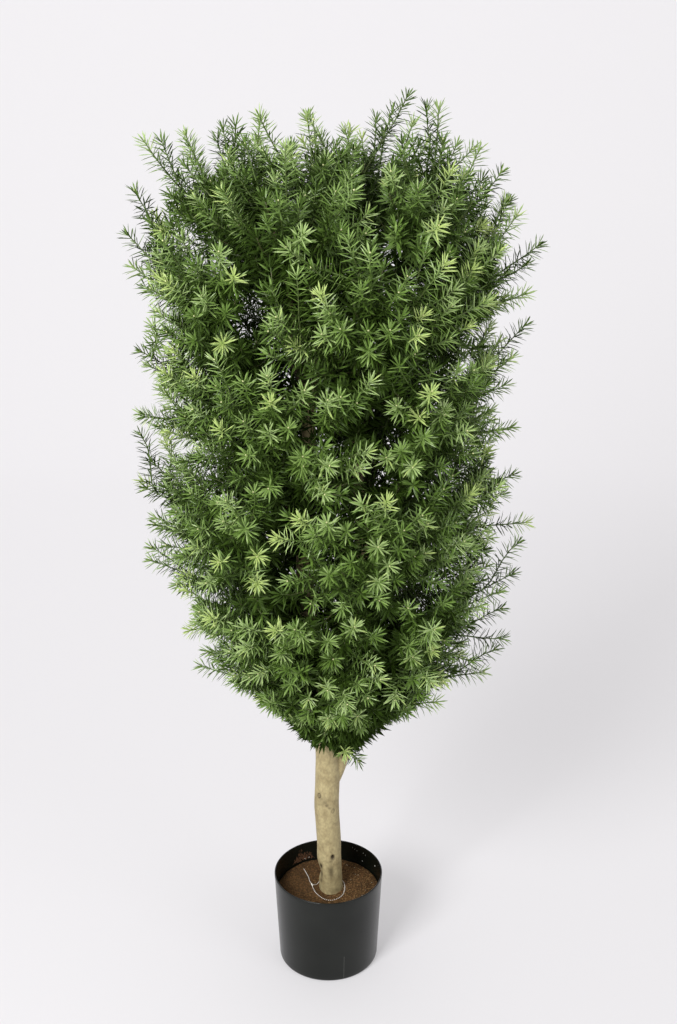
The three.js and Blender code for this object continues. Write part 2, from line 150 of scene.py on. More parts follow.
# Beads of the loop, the tail and the clasp with their radii, and the radii of the core in loop and tail.
LOOP_BEADS = 54
TAIL_BEADS = 36
CLASP_BEADS = 4
BEAD_RADII = (0.84, 0.5, 1.4)
CORE_RADII = (0.15, 0.3)
BEAD_SIDES = 6
BEAD_POLE = 0.15

# Pole and fork: centre line x, y, z with the radius there.
POLE = np.array([
    [5, 0, 126, 20],
    [3, 0, 180, 20.6],
    [1, 0, 240, 20.4],
    [-2, 0, 305, 21],
    [-1, 0, 360, 20.6],
    [-1, 0, 415, 18.8],
    [-18, 2, 530, 17],
    [-37, 2, 690, 15],
    [-34, -2, 850, 13],
    [-28, 0, 1005, 11],
    [-18, 2, 1175, 7.5],
], float)
FORK = np.array([
    [0, 6, 335, 14],
    [19, 10, 385, 14.5],
    [37, 16, 450, 13.5],
    [56, 20, 560, 12],
    [60, 16, 720, 10.5],
    [50, 10, 880, 9],
    [42, 6, 1040, 7],
], float)
# Rows of the bark's mesh stand close where the wood shows, up to this height, and wider in the foliage.
BARE_TO = 470.0
POLE_HEIGHTS = np.concatenate([np.arange(126, BARE_TO, 2.0), np.arange(BARE_TO, 1176, 16.0)])
FORK_HEIGHTS = np.concatenate([np.arange(336, BARE_TO, 2.5), np.arange(BARE_TO, 1041, 14.0)])
POLE_SIDES = 72
FORK_SIDES = 56
SMOOTHED_ROWS = 400
SMOOTHED_OVER = 12
# Marks on the wood and painted shade: azimuth in degrees, height, half width and half height, how far raised,
# how dark.
# The dark of the deep hole and the dark band at the pole's foot are painted shade.
POLE_MARKS_AND_SHADE = [
    (228, 334, 2.8, 3.4, 1.4, 0.9),
    (268, 318, 2.4, 2.8, 0.8, 0.75),
    (282, 313, 3.0, 2.4, 0.6, 0.6),
    (298, 306, 2.4, 3.2, 1.0, 0.65),
    # The deep hole: its full dark is painted shade inside it.
    (288, 211, 2.9, 4.8, -6.0, 2.0),
    (276, 203, 3.6, 3.0, -1.0, 0.55),
    (277, 181, 5.2, 13.0, -1.8, 0.72),
    (262, 204, 5.0, 4.0, 1.2, 0.2),
    (180, 203, 13.0, 12.0, 1.2, 0.0),
    (180, 174, 12.0, 11.0, -5.5, 0.35),
    (219, 189, 3.6, 5.0, -1.6, 1.3),
    (221, 173, 2.8, 8.0, -1.0, 1.0),
    (217, 159, 2.6, 5.0, -0.8, 0.8),
    # Painted shade: a dark band where the pole meets the granulate.
    (300, 141, 13.0, 4.0, 0.0, 0.3),
    (245, 330, 6.0, 4.0, 0.6, 0.4),
    (258, 323, 5.0, 6.0, 0.5, 0.4),
    (312, 262, 13.0, 90.0, 0.0, 0.15),
    (205, 310, 5.0, 14.0, 0.5, 0.3),
    (180, 305, 14.0, 22.0, 1.2, 0.1),
]
FORK_MARKS = [(200, 392, 7, 16, 0.6, 0.3)]
# A mark raised and dark by more than this is a scar: a groove and a dark ring run round its paler middle.
SCAR_RISE = 0.9
SCAR_DARK = 0.4
SCAR_RING = 1.1
SCAR_GROOVE = (0.8, 0.3)
SCAR_RING_WIDTH = 0.4
SCAR_MIDDLE = 0.4
# Dark colour of the marks, and of the painted shade in the hole and at the pole's foot.
MARK_AND_SHADE_COLOUR = (0.034, 0.021, 0.010, 1)
# Upright grain of the bark: its noise's scale and detail, and how dark and light it makes the colour.
GRAIN_NOISE = (260, 6)
BARK_GRAIN = {"From Min": 0.35, "From Max": 0.75, "To Min": 1.08, "To Max": 0.72}

# Outline of the foliage as reach from its axis and height, from the lowest sprays to the top.
AXIS_X = 8.0
OUTLINE = np.array([
    [95, 455],
    [135, 495],
    [200, 550],
    [240, 610],
    [258, 700],
    [288, 790],
    [291, 900],
    [283, 1030],
    [284, 1130],
    [292, 1230],
    [291, 1320],
    [270, 1390],
    [215, 1438],
    [110, 1462],
    [0, 1474],
], float)
LOW_ROWS = 5
LOW_SHIFT = np.array([[500, 26], [820, 4], [1500, 0]], float)
SHIFT_REACH = 200.0
# Sprays that stand out of the outline, as x and height in the plane of the pole and fork.
LEADING_TIPS = np.array([
    [-222, 578], [-240, 640], [-294, 772], [-299, 900], [-294, 1011], [-292, 1120],
    [-296, 1252], [-300, 1301], [-268, 1436], [-205, 1446], [-101, 1474], [-20, 1468],
    [41, 1458], [121, 1500], [160, 1484], [224, 1426], [261, 1393], [323, 1284],
    [308, 1164], [296, 997], [302, 919], [329, 834], [310, 750], [301, 628], [271, 566],
], float)
# Finer shoots that stand out at the sides and the top between those sprays, in the same plane.
SIDE_TIPS = np.array([
    [-284, 1366], [-281, 1219], [-281, 1096], [-300, 1018], [-297, 990], [-284, 945], [-301, 910],
    [-284, 844], [-292, 795], [-229, 655], [-240, 1438], [-131, 1461], [143, 1487],
    [272, 1352], [307, 1255], [277, 1107], [285, 1067], [315, 806], [295, 686], [287, 611], [98, 1482],
    [191, 1432],
], float)
# Sprays that hang over the fork in front, as x, y and height.
HANGING_TIPS = np.array([[57, -62, 423], [30, -74, 446]], float)
# Hollows between the sprays: azimuth in degrees, height and radius.
HOLLOWS = [
    (262, 1290, 38),
    (287, 1310, 28),
    (266, 905, 34),
    (253, 800, 30),
    (296, 1045, 26),
]
# The finer shoots close in on a hollow by this much all round.
HOLLOW_FILL = 8.0
# Openings that run on from the outline to the pole, as their two ends and radius: no needle stands there.
OPENINGS = [
    ((-22, -290, 1085), (-29, 0, 982), 11),
    ((-35, -240, 804), (-41, 0, 686), 12),
    ((-22, -190, 636), (-16, 0, 530), 12),
]
# Rise of a spray at its tip in degrees, by height.
SPRAY_RISE = np.array([
    [430, -8], [600, 12], [800, 24], [1100, 34], [1300, 48], [1400, 68], [1480, 84],
], float)

# Tiers of foliage: turn of the first mass, height where its boughs leave the wood, reach where it begins,
# how far up the outline it goes, leading sprays in each row, and its core's depth, drop and half sizes.
TIER_VALUES = ("name", "turn", "root", "reach", "up_to", "rows", "depth", "drop", "core")
TIERS = [
    ("skirt", 20, 425, 60, 0.16, (3, 3), 92, 0, (54, 24)),
    ("low", 65, 540, 90, 0.32, (3, 4), 120, 14, (104, 64)),
    ("middle", 25, 670, 96, 0.465, (4, 4), 122, 18, (116, 74)),
    ("upper", 60, 800, 96, 0.61, (4, 4), 122, 18, (116, 74)),
    ("shoulder", 20, 930, 96, 0.76, (4, 4), 124, 18, (116, 76)),
    ("crest", 65, 1050, 96, 0.915, (4, 3), 116, 0, (104, 60)),
]
TOP = ("top", 0, 1130, 0, 1.0, (5,), 120, 0, (44, 44))
TOP_ROOT = TOP[2]
MASSES_ROUND = 4
FOLIAGE_FLOOR = 395.0
TIER_DROP = 35.0
# Seeds of the masses: the first, the step from tier to tier, and the top's.
FIRST_SEED = 3
TIER_SEEDS = 10
TOP_SEED = 95
SLOPE_STEP = 0.03
ROOT_SPREAD = 0.7
# How far tips stray from their row and column, as shares of a row and of a column.
LEADING_STRAY = (0.4, 0.35)
FINE_STRAY = (1.1, 0.6)
ROW_STAGGER = 0.17
TIP_REACH = (0.95, 0.07)
BOUGH_STRAY = 30.0
BOUGH_END = 20.0
BOUGH_SAG = 0.07
STEM_SHARE = 0.42
CLEARANCE = 0.3
LIMB_STEPS = 20
# Where a leading twig leaves the stem, as the least share of its length and how much more it may be, and how
# far from the twig's end its last control stands, as a share of the length from its root.
TWIG_START = (0.1, 0.8)
TWIG_END = 0.45

# Finer growth: layers of shoots from the outline inwards, as their distance apart, their share of the
# outline's reach and how upright they stand.
LAYERS = [
    (50.0, 1.0, 0.0),
    (55.0, 0.87, 0.3),
    (58.0, 0.73, 0.5),
    (56.0, 0.58, 0.7),
    (58.0, 0.43, 0.8),
    (62.0, 0.28, 0.9),
]
# Number of the layer of leading twigs, and of the first of the inner and of the innermost shoots.
LEADING = -1
INNER_FROM = 1
INNERMOST_FROM = 3
LOW_TIERS = 2
LOW_SPACING = 0.88
# The outermost shoots fall short of the outline by chance, and more of them at the right and at the top.
SHORT_OF_OUTLINE = 0.08
SHORT_AT_RIGHT = 0.075
TOP_NOTCH = 60.0
TOP_DROP = 16.0
TOP_HEIGHTS = (1250.0, 1400.0)
# Share of the inner shoots left out at the very right and at the very left, so that light comes through.
LIGHT_AT_RIGHT = 0.55
LIGHT_AT_LEFT = 0.15
# The shoots of the lowest tier are lifted towards the wood, by most at the height of its lowest tips.
SKIRT_HEIGHTS = (455.0, 545.0, 640.0)
SKIRT_LIFTS = (38.0, 34.0, 0.0)
SHOOT_LENGTH = 112.0
SHOOT_STEPS = 12
TUFT = 15.0
LEAN_STRAY = 1.4
# Least distance of an outermost tip from a leading twig's end, as a share of its layer's distance apart.
LEAD_ROOM = 0.5
# Seeds of the shoots: the step from mass to mass, where the side tips begin, and the layers' step and shift.
SHOOT_SEEDS = 100
SIDE_SEEDS = 90
LAYER_SEEDS = 37
LAYER_SHIFT = 0.37
# What counts when a shoot picks its station besides its length: the turn away from the station's way.
TURN_COST = 0.8
# How much a shoot ends along the line from its foot to its tip, and how far from its foot and from its end
# its two controls stand, as shares of its length.
FOOT_PULL = 0.9
FOOT_CONTROL = 0.25
END_CONTROL = 0.4
# Thickness of a leading twig and of a finer one at its foot, of both at the tip, and of a bough's ends.
LEADING_TWIG_FOOT = 2.3
FINE_TWIG_FOOT = 1.4
TWIG_TIP = 0.8
BOUGH_RADII = (6.2, 3.4)
LEADING_TWIG_STEPS = 9
FINE_TWIG_STEPS = 5
TWIG_SIDES = 4
BOUGH_SIDES = 10

# Whorls of needles on an outer, an inner and an innermost shoot: pitch, needle length and half width, and
# the number of needles in each.
WHORL_PITCH = (9.2, 10.0, 12.0)
NEEDLE_LENGTH = (24.0, 26.0, 28.0)
NEEDLE_HALF_WIDTH = (1.15, 2.0, 2.5)
WHORL_NEEDLES = (6, 5, 5)
# Needles clothe this much of a shoot, up to its bare foot. The first whorls close up into a tuft.
NEEDLED_LENGTH = 150.0
BARE_FOOT = 8.0
LEAST_WHORLS = 3
TUFT_CLOSING = 0.85
TUFT_WHORLS = 1.2
FIRST_WHORL = 2.5
WHORL_STRAY = 5.0
WHORL_TURN = 2.4
TURN_STRAY = 0.5
# Lean of a needle from its twig in degrees, by the distance behind the tip.
LEAN_PLACES = (2, 8, 22, 60)
LEANS = (30, 52, 64, 68)
LEAN_VARIES = 14.0
LENGTH_VARIES = (0.86, 0.26)
TUFT_LENGTH = 0.85
TUFT_LENGTH_TO = 16.0
ROLL_VARIES = 0.9
CURL = 0.1
NEEDLE_SAG = np.array([0, 0, -0.03])
# Outer needles up to this far behind the tip have the full form, and the ones behind them a wider, plain one.
FULL_FORM_LENGTH = 80.0
BEHIND_HALF_WIDTH = 1.6
NEEDLE_RIDGE = 0.75
# Where the sections of a needle stand, as shares of its length: two on the full form, one on the plain one.
BASE_SECTION = 0.04
BASE_WIDTH = 0.6
WIDEST_SECTION = 0.68
PLAIN_SECTION = 0.5
OFF_WOOD = 2.0
# Buds: the share of the outer shoots with one, its half width and half length, and its place past the tip.
BUD_SHARE = 0.6
BUD_SIZE = (1.5, 2.2)
BUD_PAST_TIP = 2.0
PIECE_LIMIT = 190000

# Tones of the needles, dealt out by shoot: base colour, roughness and gloss.
TONES = {
    "shade": ((0.025, 0.048, 0.0055), 0.55, 0.08),
    "deep": ((0.047, 0.086, 0.012), 0.46, 0.2),
    "mid": ((0.116, 0.200, 0.034), 0.38, 0.4),
    "fresh": ((0.206, 0.318, 0.079), 0.36, 0.5),
    "bright": ((0.335, 0.455, 0.168), 0.36, 0.5),
    "lime": ((0.430, 0.550, 0.175), 0.4, 0.4),
}
LIME = list(TONES).index("lime")
# Tone number of each layer: the inner layers take the deep and shade tones, painted shade inside the crown.
LAYER_TONES = {LEADING: 2, 0: 2, 1: 1, 2: 1, 3: 0, 4: 0, 5: 0}
# Share of shoots a tone deeper, in each tier from the lowest to the top, and what the very right and the
# very left add to it. The deal is by chance, but the change of its share by tier and side is painted light
# and shade: painted shade at the bottom, the top, the right and the upper left, and painted light at the
# lower left. Some shoots of the outer three layers are a tone lighter.
DEEP_AND_SHADE_SHARES = (0.38, 0.26, 0.10, 0.08, 0.15, 0.27, 0.37)
SHADE_AT_RIGHT = (0.50, 0.60, 0.45, 0.38, 0.52, 0.62, 0.48)
LIGHT_AND_SHADE_AT_LEFT = (-0.30, -0.26, 0.14, 0.48, 0.42, 0.30, 0.18)
LIGHTER_FROM = 0.6
LIGHTER_BEFORE = 2
# Single needles a tone or two duller, or a tone livelier.
DULL_FROM = 0.70
DULLEST_FROM = 0.93
LIVELY_TO = 0.07
# On an outer shoot: the light end's length, where the dull stretch begins, and its share of dull needles.
LIGHT_END = 22.0
DULL_STRETCH = 32.0
DULL_SHARE = 0.5
# Outer shoots with a new lime tip, and how far the tip and the lighter stretch behind it reach.
NEW_TIP_FROM = 0.86
NEW_TIP = 14.0
NEW_STRETCH = 40.0
# Twigs outside and inside: colour, and the colour of their spots. The inner colour is the outer one at six
# tenths: painted shade inside the crown.
TWIG_COLOURS = {
    "outer": ((0.100, 0.162, 0.032), (0.078, 0.105, 0.026)),
    "inner": ((0.060, 0.098, 0.019), (0.072, 0.070, 0.024)),
}

# Faces of a body with four corners round it, a fifth at its head and a sixth at its foot.
EIGHT_FACES = np.array([
    [0, 1, 4], [1, 2, 4], [2, 3, 4], [3, 0, 4], [1, 0, 5], [2, 1, 5], [3, 2, 5], [0, 3, 5],
])
# Full needle: a base and a section of three corners each, and a tip. Plain needle: a base point, one
# section and a tip.
FULL_FACES = np.array([
    [0, 1, 2], [0, 2, 5], [0, 5, 3], [2, 1, 4], [2, 4, 5], [1, 0, 3], [1, 3, 4],
    [6, 3, 5], [6, 5, 4], [6, 4, 3],
])
PLAIN_FACES = np.array([[0, 3, 1], [0, 2, 3], [0, 1, 2], [4, 1, 3], [4, 3, 2], [4, 2, 1]])


def chance(a, b):
    """Repeatable number from 0 to 1: the fraction of sin(127.1 a + 311.7 b) * 43758.5453. b tells one use of
    chance from another."""
    s = np.sin(np.asarray(a, float) * 127.1 + np.asarray(b, float) * 311.7) * 43758.5453
    return s - np.floor(s)


def stray(width, a, b):
    """width (chance - 1/2): up to half a width to either side."""
    return width * (chance(a, b) - 0.5)


def dealt(size, a, b, power=1):
    """least + more chance^power, for a size given as its least value and how much more it may be."""
    least, more = size
    return least + more * chance(a, b) ** power


def unit(v):
    """v / |v| along the last axis."""
    return v / np.maximum(np.linalg.norm(v, axis=-1, keepdims=True), 1e-9)


def table(rows, x):
    """Straight between rows, which hold x in their first column."""
    return np.interp(x, rows[:, 0], rows[:, 1])


def walked(points):
    """Distance walked along a line at each of its points."""
    return np.concatenate([[0], np.cumsum(np.linalg.norm(np.diff(points, axis=0), axis=1))])


def bezier(controls, t):
    """Point at t on the curve with 3 or 4 controls: sum of binomial(n, i) (1-t)^(n-i) t^i P_i."""
    n = len(controls) - 1
    t = np.asarray(t, float)[:, None]
    return sum(math.comb(n, i) * (1 - t) ** (n - i) * t ** i * controls[i] for i in range(n + 1))


def even(line, steps):
    """steps + 1 points at equal distances along a line of many points."""
    way = walked(line)
    at = np.linspace(0, way[-1], steps + 1)
    return np.stack([np.interp(at, way, line[:, i]) for i in range(3)], -1)


def through(points, steps):
    """Smooth line through points, closed where its last point is its first: on each stretch
    p1 + (p2 - p0) t / 2 + (2 p0 - 5 p1 + 4 p2 - p3) t^2 / 2 + (3 p1 - p0 - 3 p2 + p3) t^3 / 2."""
    if np.allclose(points[0], points[-1]):
        padded = np.concatenate([points[-2:-1], points, points[1:2]])
    else:
        padded = np.concatenate([[2 * points[0] - points[1]], points, [2 * points[-1] - points[-2]]])
    t = np.linspace(0, 1, STRETCH_STEPS, endpoint=False)[None, :, None]
    p0, p1, p2, p3 = (padded[i:len(padded) - 3 + i, None] for i in range(4))
    line = (p1 + (p2 - p0) * t / 2 + (2 * p0 - 5 * p1 + 4 * p2 - p3) * t ** 2 / 2
            + (3 * p1 - p0 - 3 * p2 + p3) * t ** 3 / 2)
    return even(np.concatenate([line.reshape(-1, points.shape[1]), points[-1:]]), steps)


def at_share(line, share):
    """Point at a share of an evenly stepped line."""
    x = np.clip(share, 0, 1) * (len(line) - 1)
    i = min(int(x), len(line) - 2)
    return line[i] + (line[i + 1] - line[i]) * (x - i)


def placed(name, data):
    """New object in the scene, from a mesh, lens or lamp."""
    made = bpy.data.objects.new(name, data)
    bpy.context.scene.collection.objects.link(made)
    return made


def put(name, points, faces, finish, nodes=(), smooth=False, marks_and_shade=None):
    """Mesh piece from points in millimetres and a list of face arrays, one for each number of corners."""
    mesh = bpy.data.meshes.new(name)
    corners = np.concatenate([f.ravel() for f in faces]).astype(np.int32)
    sizes = np.concatenate([np.full(len(f), f.shape[1]) for f in faces])
    mesh.vertices.add(len(points))
    mesh.vertices.foreach_set("co", (np.asarray(points) * MM).astype(np.float32).ravel())
    mesh.loops.add(len(corners))
    mesh.loops.foreach_set("vertex_index", corners)
    mesh.polygons.add(len(sizes))
    mesh.polygons.foreach_set("loop_start", (np.cumsum(sizes) - sizes).astype(np.int32))
    mesh.polygons.foreach_set("use_smooth", np.full(len(sizes), smooth))
    for mark_and_shade, values in (marks_and_shade or {}).items():
        held = mesh.attributes.new(mark_and_shade, "FLOAT", "POINT")
        held.data.foreach_set("value", np.asarray(values, np.float32).ravel())
    mesh.update(calc_edges=True)
    mesh.validate()
    mesh.materials.append(finish)
    made = placed(name, mesh)
    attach(made, "root")
    if nodes:
        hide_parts(*nodes)


def joined(faces, corners, count):
    """The faces of count like bodies of so many corners each, one after the other."""
    return (faces[None] + corners * np.arange(count)[:, None, None]).reshape(-1, faces.shape[1])


def put_bodies(name, bodies, faces, finish, nodes=()):
    """One piece of many like bodies, from an array of bodies by corners by 3 and the faces of one."""
    put(name, bodies.reshape(-1, 3), [joined(faces, bodies.shape[1], len(bodies))], finish, nodes)


def grid_faces(rows, sides):
    """Quads of a grid of rows by sides, whose last side meets the first."""
    i, j = np.meshgrid(np.arange(rows - 1), np.arange(sides), indexing="ij")
    k = (j + 1) % sides
    quads = np.stack([i * sides + j, i * sides + k, (i + 1) * sides + k, (i + 1) * sides + j], -1)
    return quads.reshape(-1, 4)


def capped(rows, sides):
    """Faces of a closed tube of rows by sides, with a flat cap at each end."""
    first = np.arange(sides)
    return [grid_faces(rows, sides), np.array([first[::-1], first + (rows - 1) * sides])]


def turned_round(faces):
    """The same faces seen from their other side."""
    return [f[:, ::-1] for f in faces]


def across_line(line):
    """Tangent t of a line, and directions n and b square to it: n is one side vector made square to t, and
    b = t x n."""
    t = unit(np.gradient(line, axis=0))
    side = unit(np.cross(line[-1] - line[0], np.array([0.13, 0.07, 1.0])))
    n = unit(side - np.sum(t * side, -1, keepdims=True) * t)
    return t, n, np.cross(t, n)


def tubes(lines, radii, sides):
    """Closed tubes: point = line + radius (n cos angle + b sin angle), a cap over each end."""
    points, quads, ends, start = [], [], [], 0
    angle = np.linspace(0, 2 * math.pi, sides, endpoint=False)
    for line, radius in zip(lines, radii):
        _, n, b = across_line(line)
        ring = n[:, None] * np.cos(angle)[None, :, None] + b[:, None] * np.sin(angle)[None, :, None]
        points.append((line[:, None] + radius[:, None, None] * ring).reshape(-1, 3))
        around, caps = capped(len(line), sides)
        quads.append(around + start)
        ends.append(caps + start)
        start += len(line) * sides
    return np.concatenate(points), [np.concatenate(quads), np.concatenate(ends)]


def feed(made, entry, value):
    """Joins an input of a finish's node to another node's output, or gives it a plain value."""
    if isinstance(value, bpy.types.NodeSocket):
        made.node_tree.links.new(value, entry)
    else:
        entry.default_value = value


def add_node(made, kind, inputs):
    """Node of a kind in a finish, with its inputs fed by name or number."""
    added = made.node_tree.nodes.new("ShaderNode" + kind)
    for end, value in inputs.items():
        feed(made, added.inputs[end], value)
    return added


def noise_on(made, place, scale, detail):
    """Noise of one scale and detail at a place in a finish."""
    return add_node(made, "TexNoise", {"Vector": place, "Scale": scale, "Detail": detail}).outputs["Fac"]


def mixed(made, blend, amount, first, second):
    """Two colours of a finish mixed by an amount."""
    mix = made.node_tree.nodes.new("ShaderNodeMix")
    mix.data_type = "RGBA"
    mix.blend_type = blend
    for end, value in (("Factor", amount), (6, first), (7, second)):
        feed(made, mix.inputs[end], value)
    return mix.outputs[2]


def new_finish(name, inputs):
    """New finish, and the inputs of its shader, some of them with values."""
    made = bpy.data.materials.new(name)
    made.use_nodes = True
    shader = made.node_tree.nodes["Principled BSDF"]
    for end, value in inputs.items():
        feed(made, shader.inputs[end], value)
    return made, shader.inputs


def material(name, colour, roughness, bump, spots=None, specular=0.5, stretch=(1, 1, 1)):
    """Finish on Object coordinates: base colour, mixed by noise with a second one, and a fine bump.

    bump is its scale and strength; spots are a colour, their scale and the noise where they begin and are
    full.
    """
    made, shader = new_finish(name, {
        "Base Color": (*colour, 1), "Roughness": roughness, "Specular IOR Level": specular})
    place = add_node(made, "TexCoord", {}).outputs["Object"]
    place = add_node(made, "Mapping", {"Vector": place, "Scale": stretch}).outputs["Vector"]
    if spots:
        second, scale, low, high = spots
        ramp = add_node(made, "ValToRGB", {"Fac": noise_on(made, place, scale, SPOT_DETAIL)})
        for element, at, end in zip(ramp.color_ramp.elements, (low, high), (colour, second)):
            element.position = at
            element.color = (*end, 1)
        feed(made, shader["Base Color"], ramp.outputs["Color"])
    scale, strength = bump
    raised = add_node(made, "Bump", {
        "Strength": strength, "Distance": BUMP_HEIGHT, "Height": noise_on(made, place, scale, BUMP_DETAIL)})
    feed(made, shader["Normal"], raised.outputs["Normal"])
    return made


def make_camera():
    """Camera at the photograph's viewing angle."""
    lens = bpy.data.cameras.new("camera")
    lens.lens = CAMERA_LENS
    lens.sensor_width = CAMERA_SENSOR
    held = placed("camera", lens)
    held.location = CAMERA_PLACE
    held.rotation_euler = (math.radians(90 - CAMERA_TILT), 0, 0)
    bpy.context.scene.camera = held


def floor_material():
    """Pale matt floor with a faint glow that grows with the Object Y coordinate."""
    made, shader = new_finish("pale floor", FLOOR_FINISH)
    place = add_node(made, "TexCoord", {}).outputs["Object"]
    depth = add_node(made, "SeparateXYZ", {"Vector": place}).outputs["Y"]
    glow = add_node(made, "MapRange", {**GLOW_BY_DEPTH, "Value": depth}).outputs["Result"]
    feed(made, shader["Emission Strength"], glow)
    return made


def make_stage():
    """Pale floor that curves up into a pale wall: y = start + radius sin a, z = radius (1 - cos a)."""
    curve = [(CURVE_START + CURVE_RADIUS * math.sin(a), CURVE_RADIUS - CURVE_RADIUS * math.cos(a))
             for a in np.linspace(*CURVE_ANGLES)]
    profile = [(STAGE_FRONT, 0.0), (CURVE_START, 0.0), *curve, (CURVE_START + CURVE_RADIUS, WALL_TOP)]
    points = [(x, y, z - UNDER_POT) for y, z in profile for x in (-STAGE_HALF_WIDTH, STAGE_HALF_WIDTH)]
    faces = [(2 * i, 2 * i + 1, 2 * i + 3, 2 * i + 2) for i in range(len(profile) - 1)]
    mesh = bpy.data.meshes.new("floor")
    mesh.from_pydata(points, [], faces)
    mesh.polygons.foreach_set("use_smooth", np.full(len(faces), True))
    mesh.materials.append(floor_material())
    placed("floor", mesh)


def make_lights():
    """Pale sky, and large soft lamps turned to their aims."""
    world = bpy.data.worlds.new("studio")
    world.use_nodes = True
    sky = world.node_tree.nodes["Background"]
    sky.inputs["Color"].default_value = (*SKY_COLOUR, 1)
    sky.inputs["Strength"].default_value = SKY_STRENGTH
    bpy.context.scene.world = world
    for name, place, aim, side, power in LAMPS:
        lamp = bpy.data.lights.new(name, "AREA")
        lamp.energy = power
        lamp.size = side
        held = placed(name, lamp)
        held.location = place
        held.rotation_euler = (Vector(aim) - Vector(place)).to_track_quat("-Z", "Y").to_euler()


def wall_radius(height):
    """Outer radius of the pot at a height: straight from the base to the rim."""
    return POT_BASE_RADIUS + (POT_TOP_RADIUS - POT_BASE_RADIUS) * height / POT_HEIGHT


def make_pot():
    """Thin moulded pot with a rounded foot and a plain thin rim, turned from one profile:
    (r cos a, r sin a, z)."""
    foot = [(POT_BASE_RADIUS - FOOT_ROUND + FOOT_ROUND * math.sin(a), FOOT_ROUND - FOOT_ROUND * math.cos(a))
            for a in np.linspace(0, FOOT_TURN, FOOT_STEPS)]
    outside = [(wall_radius(z), z)
               for z in np.linspace(FOOT_ROUND + 1, POT_HEIGHT - OUTSIDE_UNDER_RIM, OUTSIDE_STEPS)]
    rim = [(POT_TOP_RADIUS - inwards, POT_HEIGHT - down) for inwards, down in RIM_STEPS]
    inside = [(wall_radius(z) - POT_WALL, z)
              for z in np.linspace(POT_HEIGHT - INSIDE_UNDER_RIM, POT_INSIDE_FLOOR, INSIDE_STEPS)]
    profile = np.array([(POT_CAP_RADIUS, 0), *foot, *outside, *rim, *inside,
                        (POT_CAP_RADIUS, POT_INSIDE_FLOOR)], float)
    angle = np.linspace(0, 2 * math.pi, POT_SIDES, endpoint=False)
    r, z = profile[:, :1], profile[:, 1:]
    points = np.stack([r * np.cos(angle), r * np.sin(angle), z + 0 * angle], -1)
    finish = material("black pot", (0.0032, 0.0044, 0.0028), 0.26, bump=(160, 0.12),
                      spots=((0.0068, 0.0082, 0.0062), 14, 0.4, 0.7), specular=0.33)
    put("pot_moulded", points.reshape(-1, 3), capped(len(profile), POT_SIDES), finish, ["pot"], True)


def stem_at(rows, height):
    """Centre and radius of a wooden stem at a height."""
    return [np.interp(height, rows[:, 2], rows[:, i]) for i in (0, 1, 3)]


def off_pole(x, y):
    """Distance from the pole's surface at the filling's top."""
    pole_x, pole_y, pole_radius = stem_at(POLE, FILLING_TOP)
    return np.hypot(x - pole_x, y - pole_y) - pole_radius


def bed_height(x, y):
    """Top of the granulate: its level, less a fall towards the wall that grows with share^1.3, less a dip
    exp(-(distance / width)^2) in front of the pole's foot, with small waves."""
    fall = EDGE_FALL * np.clip((np.hypot(x, y) - EDGE_FALL_START) / EDGE_FALL_WIDTH, 0, 1) ** 1.3
    dip = FOOT_DIP * np.clip(-y / FOOT_DIP_FRONT, 0, 1) * np.exp(-(off_pole(x, y) / FOOT_DIP_WIDTH) ** 2)
    waves = 0.7 * np.sin(x / 7.0 + 1) * np.sin(y / 9.0) + 0.4 * np.sin(x / 3.1) * np.sin(y / 2.7 + 2)
    return FILLING_TOP - BED_UNDER_TOP - fall - dip + waves


def make_filling():
    """Granulate: a disc of rings with small waves, under several thousand eight-faced grains laid on it."""
    r = np.linspace(0.5, FILLING_RADIUS - 0.4, BED_RINGS)[:, None]
    a = np.linspace(0, 2 * math.pi, BED_SIDES, endpoint=False)[None, :]
    x, y = r * np.cos(a), r * np.sin(a)
    top = np.stack([x, y, bed_height(x, y)], -1).reshape(-1, 3)
    low_radius, low_height = FILLING_LOW
    narrow = low_radius / r[-1, 0]
    low = np.stack([x[-1] * narrow, y[-1] * narrow, np.full(BED_SIDES, low_height)], -1)
    finish = material("granulate bed", (0.063, 0.034, 0.012), 0.95, bump=(700, 1.0),
                      spots=((0.140, 0.078, 0.029), 420, 0.4, 0.7), specular=0.2)
    faces = turned_round(capped(BED_RINGS + 1, BED_SIDES))
    put("granulate_bed", np.concatenate([top, low]), faces, finish, ["pot_filling"], True)
    n = np.arange(GRAINS)
    radius = (FILLING_RADIUS - GRAIN_MARGIN) * np.sqrt((n + 0.5) / GRAINS)
    x = radius * np.cos(n * GOLDEN_ANGLE) + stray(GRAIN_STRAY, n, 1)
    y = radius * np.sin(n * GOLDEN_ANGLE) + stray(GRAIN_STRAY, n, 2)
    beside = off_pole(x, y) > 0.5
    x, y, n = x[beside], y[beside], n[beside]
    grains = grain_bodies(x, y, n)
    deal = chance(n, 6) - DARKER_AT_LEFT * np.clip(-x / LEFT_REACH, 0, 1)
    low = -1.0
    for name, colour, high in GRAIN_KINDS:
        grain = material(f"grain {name}", colour, 0.85, bump=(900, 0.4), specular=0.25)
        few = grains[(deal >= low) & (deal < high)]
        put_bodies(f"grains_{name}", few, EIGHT_FACES, grain)
        low = high


def grain_bodies(x, y, n):
    """Corners of the grains: unit steps along the axes, stretched, spun about z by chance and laid on the
    bed."""
    size = dealt(GRAIN_SIZE, n, 3)
    stretch = np.stack([size * (0.8 + 0.5 * chance(n, 5)), size, size * 0.75], -1)
    arms = np.concatenate([np.eye(3)[:2], -np.eye(3)[:2], np.eye(3)[2:], -np.eye(3)[2:]])
    body = arms[None] * stretch[:, None]
    spin = 2 * math.pi * chance(n, 4)[:, None]
    body = np.stack([
        body[..., 0] * np.cos(spin) - body[..., 1] * np.sin(spin),
        body[..., 0] * np.sin(spin) + body[..., 1] * np.cos(spin),
        body[..., 2],
    ], -1)
    return body + np.stack([x, y, bed_height(x, y) + 0.3], -1)[:, None]


